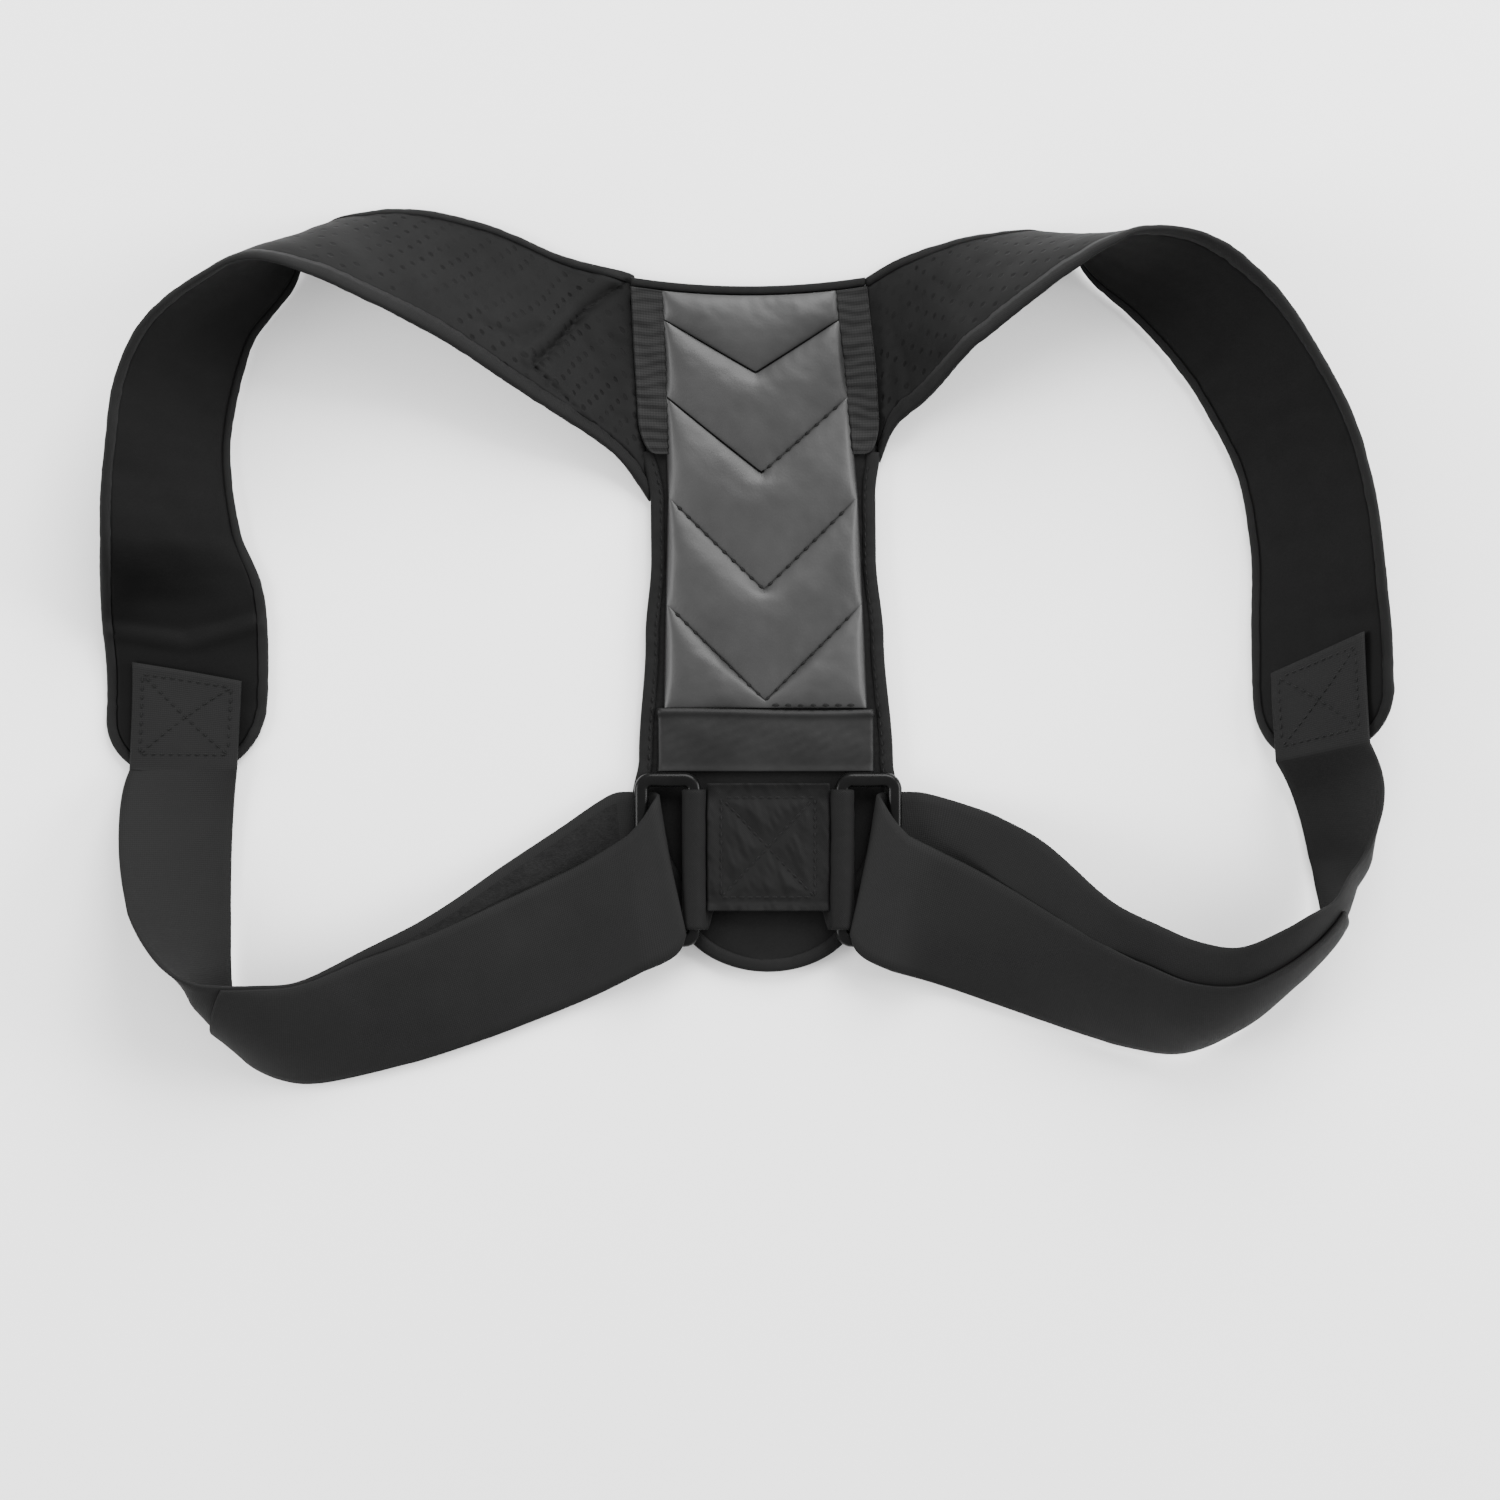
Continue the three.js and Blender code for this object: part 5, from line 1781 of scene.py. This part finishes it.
@dataclass
class ElasticStrap:
    """The webbing strap from the pad's end, round the ring and back over itself."""

    shape: LoopShape
    wardrobe: Wardrobe
    sewn_length: float = 42
    sewn_share: float = 0.84
    sewn_skew: float = 0.3
    sewn_rows: int = 24
    pile_share: float = 0.0
    columns: int = 15
    section_steps: int = 12
    turn_steps: int = 8
    bridge_rows: int = 10
    bridge_stride: int = 4
    corner_share: float = 0.14
    corner_rows: float = 5
    sewn_blend: tuple[int, int] = (32, 80)
    outer_blend: tuple[int, int] = (44, 120)
    box: tuple[float, float, float] = (0.09, 0.8, 0.84)

    def build(self) -> list[Piece]:
        """Builds the strap and the crossed box of stitches at its sewn end."""
        return [self.strap(), self.box_stitches()]

    def _layer(self, ribbon: Ribbon, start: Array, end: Array, lift: float) -> Array:
        """Rows of points across part of a ribbon.

        Args:
            ribbon: the ribbon.
            start: share across it where each row starts.
            end: share across it where each row ends.
            lift: distance from the ribbon.

        Returns:
            The points, by row and column.
        """
        columns = np.linspace(0, 1, self.columns)[None, :]
        share = mix(np.reshape(start, (-1, 1)), np.reshape(end, (-1, 1)), columns)
        share = np.broadcast_to(share, (len(ribbon.neck), self.columns))
        return ribbon.points(share) + (ribbon.normal * lift)[:, None]

    @property
    def _sewn_lift(self) -> float:
        """The sewn end's distance from the pad's middle sheet."""
        shape = self.shape
        return -(shape.pad_thickness / 2 + shape.panel.raise_ + shape.panel.gap + shape.strap_thickness / 2)

    def _sewn_points(self, down: Array, over: Array, lift: float) -> tuple[Array, Array]:
        """Places on the sewn end.

        Args:
            down: shares of its length, from its free edge to the pad's end.
            over: shares of its half width, from -1 at the neck edge to 1.
            lift: distance from the pad's middle sheet.

        Returns:
            The points and the pad's outward direction at each.
        """
        pad = self.shape.pad()
        half = self.shape.strap_width * self.sewn_share / 2
        slant = self.sewn_skew * half * over * (1 - down)
        ribbon = pad.at(pad.length[-1] - self.sewn_length * (1 - down) - slant)
        share = 0.5 + half / self.shape.pad_width * over
        return ribbon.points(share[:, None])[:, 0] + ribbon.normal * lift, ribbon.normal

    def _sewn(self) -> Array:
        """The sewn end on the pad's inner face, by row and column."""
        down, over = np.meshgrid(
            np.linspace(0, 1, self.sewn_rows), np.linspace(-1, 1, self.columns), indexing="ij")
        return self._sewn_points(down.ravel(), over.ravel(), self._sewn_lift)[0].reshape(*down.shape, 3)

    def _turn(self) -> Array:
        """The way round the ring's outer bar.

        Returns:
            Its points, by row and column.
        """
        shape, rings = self.shape, self.shape.rings
        bar = shape.panel.middle(rings.up) + shape.side.value * rings.outer_out
        wrap = rings.bar_thickness / 2 + shape.panel.gap + shape.strap_thickness / 2
        width = shape.strap_width
        params = np.linspace(0, len(STRAP_TURN) - 1, self.turn_steps * (len(STRAP_TURN) - 1) + 1)
        lines = []
        for out, up in ((2, 3), (0, 1)):
            places = np.stack([bar + shape.side.value * STRAP_TURN[:, out] * width,
                               rings.up + STRAP_TURN[:, up] * width,
                               rings.middle_up + STRAP_TURN[:, 4] * wrap], axis=1)
            lines.append(smooth_line(places, params))
        share = np.linspace(0, 1, self.columns)[None, :, None]
        return mix(lines[0][:, None], lines[1][:, None], share)

    def _bridge(self, before: Array, after: Array) -> Array:
        """Rows that carry one run of rows smoothly on to the next.

        Args:
            before: the run of rows before them.
            after: the run of rows after them.

        Returns:
            The rows in between.
        """
        last, first = before[::self.bridge_stride][-2:], after[::self.bridge_stride][:2]
        rows = np.empty((self.bridge_rows, self.columns, 3))
        params = 1 + np.arange(1, self.bridge_rows + 1) / (self.bridge_rows + 1)
        for j in range(self.columns):
            rows[:, j] = smooth_line(np.concatenate([last[:, j], first[:, j]]), params)
        return rows

    @staticmethod
    def _smooth(rows: Array, passes: int) -> None:
        """Smooths rows in place, between the first and the last."""
        for _ in range(passes):
            rows[1:-1] = rows[1:-1] * 0.5 + (rows[:-2] + rows[2:]) * 0.25

    def _rows(self, ribbon: Ribbon) -> Array:
        """Every row of the strap, from its sewn end to the end that is folded back.

        Args:
            ribbon: the sheet that the strap's layers follow.

        Returns:
            The points, by row and column.
        """
        layer = (self.shape.strap_thickness + self.shape.panel.gap) / 2
        inner = self._layer(ribbon, ribbon.shift / (1 + ribbon.shift), np.ones_like(ribbon.shift), -layer)
        folded = ribbon.since(self.shape.folded_from * self.section_steps)
        rounded = self.corner_share * np.exp(-np.arange(len(folded.shift)) / self.corner_rows)
        outer = self._layer(folded, rounded, 1 / (1 + folded.shift), layer)[::-1]
        runs = [self._sewn(), inner, self._turn(), outer]
        parts = [runs[0]]
        for before, after in zip(runs, runs[1:]):
            parts += [self._bridge(before, after), after]
        grid = np.concatenate(parts)
        self._smooth(grid, 3)
        reach, passes = self.sewn_blend
        self._smooth(grid[self.sewn_rows - 1:self.sewn_rows + reach], passes)
        reach, passes = self.outer_blend
        after_turn = len(grid) - len(outer) - self.bridge_rows
        self._smooth(grid[after_turn - 3:after_turn + reach], passes)
        return grid

    def strap(self) -> Piece:
        """The whole strap as one piece of webbing.

        Returns:
            The strap.
        """
        ribbon = self.shape.strap(self.section_steps)
        grid = self._rows(ribbon)
        skin = Skin(grid, np.full(grid.shape[:2], self.shape.strap_thickness / 2))
        plan = skin.strip()
        ripple = 0.1 * ripples(plan[..., 0], plan[..., 1], 26, 71 + self.shape.side.value)
        ripple = ripple + 0.05 * ripples(plan[..., 0] * 0.5, plan[..., 1], 7, 75)
        skin = skin.moved(ripple)
        first = self.sewn_rows + self.bridge_rows
        last = first + len(ribbon.normal)
        if np.einsum("ijk,ik->ij", skin.normals()[first:last], ribbon.normal).mean() <= 0:
            skin = Skin(skin.grid[:, ::-1], skin.half)
        patches = []
        if self.pile_share:
            start = first + int(len(ribbon.normal) * (1 - self.pile_share))
            rows = slice(start, last + self.bridge_rows)
            patches.append((rows, slice(1, self.columns - 2), self.wardrobe.pile))
        side = self.shape.side
        piece = skin.build(f"{side.word}_webbing_strap", self.wardrobe.elastic, None, patches)
        skin.declare(piece, "folded", [f"{side.word}_moulded_ring", f"{side.word}_padded_strap"])
        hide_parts(f"{side.word}_elastic_strap")
        return piece

    def box_stitches(self) -> Piece:
        """A stitched box with crossed lines on the sewn end.

        Returns:
            The stitches.
        """
        rows = StitchRow(f"{self.shape.side.word}_strap_stitches", length=2.4, gap=1.1, radius=0.34)
        low, high, half = self.box
        corners = [(low, -half), (high, -half), (high, half), (low, half), (low, -half), (high, half)]
        lift = self._sewn_lift - self.shape.strap_thickness / 2
        for path in (corners, [(high, -half), (low, half)]):
            for start, end in zip(path, path[1:]):
                run = np.linspace(start, end, 30)
                points, normal = self._sewn_points(run[:, 0], run[:, 1], lift)
                rows.add(points, -normal)
        piece = rows.build(self.wardrobe.thread)
        return piece


@dataclass
class RingFitting:
    """The rings, their folded webbing and the stitched square."""

    panel: PanelShape
    rings: RingSizes
    wardrobe: Wardrobe
    bar_share: float = 0.95
    corner_share: float = 0.8
    corner_steps: int = 12
    bar_steps: int = 24
    bar_power: float = 0.72
    wrap_steps: int = 30
    loop_rows: int = 48
    pinch: float = 0.28
    pinch_reach: float = 2.4
    seam_place: float = 0.78
    puff_height: float = 0.95
    wrinkle_height: float = 0.75
    fine_wrinkle_height: float = 0.3
    rim_height: float = 0.9
    hem_depth: float = 0.7
    corner_lift: float = 2.0

    def build(self) -> list[Piece]:
        """Builds both rings, both loops and the square."""
        made = [piece for side in Side for piece in (self.ring(side), self.loop(side))]
        return made + [self.square(), self.square_stitches()]

    def ring(self, side: Side) -> Piece:
        """A rectangular ring with softly squared bars.

        Args:
            side: the side of the panel.

        Returns:
            The ring.
        """
        sizes = self.rings
        middle = self.panel.middle(sizes.up) + side.value * (sizes.inner_out + sizes.outer_out) / 2
        bar_width = self.bar_share * sizes.bar_width
        half_width = (sizes.opening_width + sizes.bar_width) / 2
        half_length = (sizes.opening_length + sizes.bar_width) / 2
        radius = self.corner_share * sizes.corner_radius
        centres: list[tuple[float, float, float]] = []
        for sign_x, sign_y, start in ((1, 1, 0), (-1, 1, 90), (-1, -1, 180), (1, -1, 270)):
            for degrees in np.linspace(start, start + 90, self.corner_steps):
                angle = math.radians(degrees)
                centres.append((middle + sign_x * (half_width - radius) + radius * math.cos(angle),
                                sizes.up + sign_y * (half_length - radius) + radius * math.sin(angle), angle))
        around = np.linspace(0, 2 * math.pi, self.bar_steps + 1)[:-1]
        out, up = np.cos(around), np.sin(around)
        away = np.sign(out) * np.abs(out) ** self.bar_power * bar_width / 2
        lift = np.sign(up) * np.abs(up) ** self.bar_power * sizes.bar_thickness / 2
        sections = np.array([[(x + a * math.cos(angle), y + a * math.sin(angle), sizes.middle_up + b)
                              for a, b in zip(away, lift)] for x, y, angle in centres])
        run = np.arange(len(centres), dtype=float)[:, None] * np.ones((1, len(around)))
        strip = np.stack([np.broadcast_to(around * 3, run.shape), run * 3], axis=2)
        piece = tube_mesh(f"{side.word}_moulded_ring", sections, strip, self.wardrobe.plastic, True)
        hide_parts(f"{side.word}_ring")
        return piece

    def loop(self, side: Side) -> Piece:
        """The folded webbing round a ring's inner bar.

        Args:
            side: the side of the panel.

        Returns:
            The webbing.
        """
        sizes = self.rings
        middle = self.panel.middle(sizes.up)
        low = sizes.deck + sizes.loop_thickness / 2
        high = low + sizes.loop_thickness + sizes.gap
        wrap_out = sizes.bar_width / 2 + sizes.gap + sizes.loop_thickness / 2
        wrap_up = sizes.bar_thickness / 2 + sizes.gap + sizes.loop_thickness / 2
        tab_half = sizes.tab_width / 2
        inner = [(sizes.gap, low)] + [(tab_half * share, low) for share in (0.5, 0.8, 0.88, 0.92, 0.96, 1.0)]
        path = list(inner)
        for angle in np.linspace(-math.pi / 2, math.pi, self.wrap_steps):
            path.append((sizes.inner_out + wrap_out * math.cos(angle),
                         sizes.middle_up + wrap_up * math.sin(angle)))
        drop = sizes.middle_up - high
        path.append((sizes.inner_out - wrap_out - 0.1 * drop, high + 0.3 * drop))
        path += [(out, high) for out, _ in reversed(inner)]
        line = np.array(path)
        ups = np.linspace(-0.5, 0.5, self.loop_rows)
        under = np.clip((tab_half - line[:, 0]) / self.pinch_reach, 0, 1)
        pinch = 1 - self.pinch * under * under * (3 - 2 * under)
        x = middle + side.value * line[:, :1] * np.ones((1, len(ups)))
        y = sizes.up + ups[None, :] * sizes.loop_width * pinch[:, None]
        z = line[:, 1:] * np.ones((1, len(ups)))
        skin = Skin(np.dstack([x, y, z]), np.full(x.shape, sizes.loop_thickness / 2))
        plan = skin.strip()
        skin = skin.moved(0.07 * ripples(plan[..., 0], plan[..., 1] * 0.5, 7, 81 + side.value))
        if skin.normals()[-3, :, 2].mean() < 0:
            skin = Skin(skin.grid[:, ::-1], skin.half)
        piece = skin.build(f"{side.word}_folded_webbing", self.wardrobe.webbing)
        skin.declare(piece, "folded", ["padded_backing"])
        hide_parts(f"{side.word}_ring_loop")
        return piece

    @property
    def square_middle(self) -> tuple[float, float]:
        """The stitched square's middle in plan."""
        return self.panel.middle(self.rings.up), self.rings.up + self.rings.tab_raise

    def _square_top(self, x: Array, y: Array) -> Array:
        """Height of the stitched square's face, with its wrinkles and pulled-in seams.

        Args:
            x: mm across the panel.
            y: mm up the panel.

        Returns:
            The heights.
        """
        sizes = self.rings
        base = sizes.deck + 2 * (sizes.loop_thickness + sizes.gap) + sizes.tab_thickness
        centre_x, centre_y = self.square_middle
        u, v = (x - centre_x) / (sizes.tab_width / 2), (y - centre_y) / (sizes.tab_length / 2)
        far_u, far_v = np.abs(u), np.abs(v)
        box = np.minimum(np.abs(far_u - self.seam_place), np.abs(far_v - self.seam_place))
        cross = np.minimum(np.abs(u - v), np.abs(u + v)) * 0.7
        in_box = (far_u < self.seam_place) & (far_v < self.seam_place)
        seam = np.where(in_box, np.minimum(box, cross), box)
        puff = self.puff_height * (1 - np.exp(-(seam / 0.13) ** 2))
        wrinkles = self.wrinkle_height * ripples(x * 1.5 + y * 0.5, y * 0.35, 8.5, 91)
        wrinkles = wrinkles + self.fine_wrinkle_height * ripples(x * 1.4 + y * 0.4, y * 0.5, 4, 92)
        rim = self.rim_height * np.exp(-((1 - v) / 0.06) ** 2)
        hem = -self.hem_depth * np.exp(-((v + 0.86) / 0.035) ** 2)
        corner = self.corner_lift * np.exp(-((1 - u) ** 2 + (1 - v) ** 2) / 0.05)
        relief = puff + wrinkles * np.clip(seam / 0.2, 0.3, 1) + rim + hem
        return base + 0.3 + np.maximum(relief, -0.25) + corner

    def square(self) -> Piece:
        """The wrinkled webbing square between the rings.

        Returns:
            The square.
        """
        sizes = self.rings
        centre_x, centre_y = self.square_middle
        x, y = np.meshgrid(centre_x + np.linspace(-0.5, 0.5, 72) * sizes.tab_width,
                           centre_y + np.linspace(-0.5, 0.5, 76) * sizes.tab_length)
        half = sizes.tab_thickness / 2
        middle = self._square_top(x, y) - half
        skin = upright(Skin(np.dstack([x, y, middle]), np.full(middle.shape, half)))
        piece = skin.build("stitched_square", self.wardrobe.webbing)
        skin.declare(piece, "laid", ["left_folded_webbing", "right_folded_webbing"])
        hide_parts("ring_tab")
        return piece

    def square_stitches(self) -> Piece:
        """The square's box of stitches and its crossed lines.

        Returns:
            The stitches.
        """
        size = np.array([self.rings.tab_width, self.rings.tab_length]) / 2 * self.seam_place
        corners = [np.array(place) * size + self.square_middle
                   for place in ((-1, -1), (1, -1), (1, 1), (-1, 1))]
        runs = list(zip(corners, corners[1:] + corners[:1])) + list(zip(corners[:2], corners[2:]))
        rows = StitchRow("square_stitches", length=2.3, gap=1.0, radius=0.32)
        for start, end in runs:
            line = np.linspace(start, end, 40)
            rows.add_level(np.column_stack([line, self._square_top(line[:, 0], line[:, 1])]))
        piece = rows.build(self.wardrobe.thread)
        return piece


# The studio


@dataclass(frozen=True)
class Lamp:
    """A square soft lamp, with its place, aim and size in metres and its power in watts."""

    name: str
    place: tuple[float, float, float]
    target: tuple[float, float, float]
    size: float
    power: float

    def build(self) -> None:
        """Makes the lamp."""
        data = bpy.data.lights.new(self.name, "AREA")
        data.size = self.size
        data.energy = self.power
        lamp = bpy.data.objects.new(self.name, data)
        bpy.context.collection.objects.link(lamp)
        lamp.location = self.place
        x, y, z = np.array(self.target) - np.array(self.place)
        lamp.rotation_euler = (math.atan2(math.hypot(x, y), -z), 0, math.atan2(y, x) - math.pi / 2)


LAMPS = (
    Lamp("top_soft", (0.5, 1.6, 1.25), (0.0, 0.05, 0.0), 1.3, 88.0),
    Lamp("right_fill", (1.8, 0.3, 0.9), (0.0, 0.0, 0.0), 1.0, 60.0),
    Lamp("left_fill", (-1.8, -0.1, 1.0), (0.0, 0.0, 0.0), 1.0, 50.0),
)


@dataclass
class Studio:
    """The pale floor, soft light and the camera straight above."""

    camera_height: float = 3000
    focus_height: float = 5
    view_width: float = 600
    sensor_width: float = 36
    middle: tuple[float, float] = (-4.0, 88.8)
    floor_reach: float = 6.0
    room_light: float = 1.2

    def build(self) -> None:
        """Makes the floor, lights and camera."""
        self.floor()
        self.lights()
        self.camera()

    def floor(self) -> None:
        """A large pale floor at the brace's foot."""
        mesh = bpy.data.meshes.new("floor")
        reach = self.floor_reach
        corners = [(-reach, -reach, 0), (reach, -reach, 0), (reach, reach, 0), (-reach, reach, 0)]
        mesh.from_pydata(corners, [], [(0, 1, 2, 3)])
        mesh.materials.append(PaleFloor().build())
        floor = bpy.data.objects.new("floor", mesh)
        bpy.context.collection.objects.link(floor)

    def lights(self) -> None:
        """Soft light from above and all round."""
        world = bpy.data.worlds.new("soft_room")
        bpy.context.scene.world = world
        world.use_nodes = True
        room = world.node_tree.nodes["Background"]
        room.inputs["Color"].default_value = (1.0, 1.0, 1.0, 1.0)
        room.inputs["Strength"].default_value = self.room_light
        for lamp in LAMPS:
            lamp.build()

    def camera(self) -> None:
        """A camera straight above, as the photograph was taken."""
        data = bpy.data.cameras.new("camera")
        data.sensor_width = self.sensor_width
        data.lens = self.sensor_width * (self.camera_height - self.focus_height) / self.view_width
        camera = bpy.data.objects.new("camera", data)
        bpy.context.collection.objects.link(camera)
        camera.location = PLACE.metres(np.array([*self.middle, self.camera_height])).tolist()
        bpy.context.scene.camera = camera


# Folds of the pads: places as mm along and share across, depth, width and ridge
LEFT_FOLDS = (
    Fold(((58, 0.78), (41, 0.52), (13, 0.1)), 2.4, 1.6, 0.8),
    Fold(((57, 0.8), (36, 0.92)), 0.8, 1.6),
    Fold(((78, 0.72), (62, 0.66), (50, 0.52)), 0.8, 1.8),
    Fold(((332, 0.05), (336, 0.5), (326, 0.98)), 1.2, 2.6),
)
RIGHT_FOLDS = (
    Fold(((40, 0.3), (52, 0.6), (60, 0.95)), 0.6, 3.0),
    Fold(((12, 0.35), (20, 0.62), (22, 0.95)), 0.5, 2.0),
)


def main() -> None:
    """Builds the brace's pieces in order."""
    logging.basicConfig(level=logging.INFO, format="%(message)s")
    panel = PanelShape()
    rings = RingSizes()
    PLACE.find(panel, rings)
    wardrobe = Wardrobe()
    left = LoopShape(Side.LEFT, panel, rings, LEFT_PAD, LEFT_STRAP, reach=219, folded_from=5, seam_share=1.4)
    right = LoopShape(Side.RIGHT, panel, rings, RIGHT_PAD, RIGHT_STRAP, reach=208, folded_from=4)
    groups = (
        ("spine panel", SpinePanel(panel, wardrobe)),
        ("left shoulder pad", ShoulderPad(left, wardrobe, LEFT_FOLDS)),
        ("right shoulder pad", ShoulderPad(right, wardrobe, RIGHT_FOLDS)),
        ("left strap", ElasticStrap(left, wardrobe, pile_share=0.22)),
        ("right strap", ElasticStrap(right, wardrobe)),
        ("rings", RingFitting(panel, rings, wardrobe)),
    )
    for name, group in groups:
        for piece in group.build():
            LOG.info("%s: %s, %d faces", name, piece.name, len(piece.data.polygons))
    Studio().build()


if __name__ == "__main__":
    main()
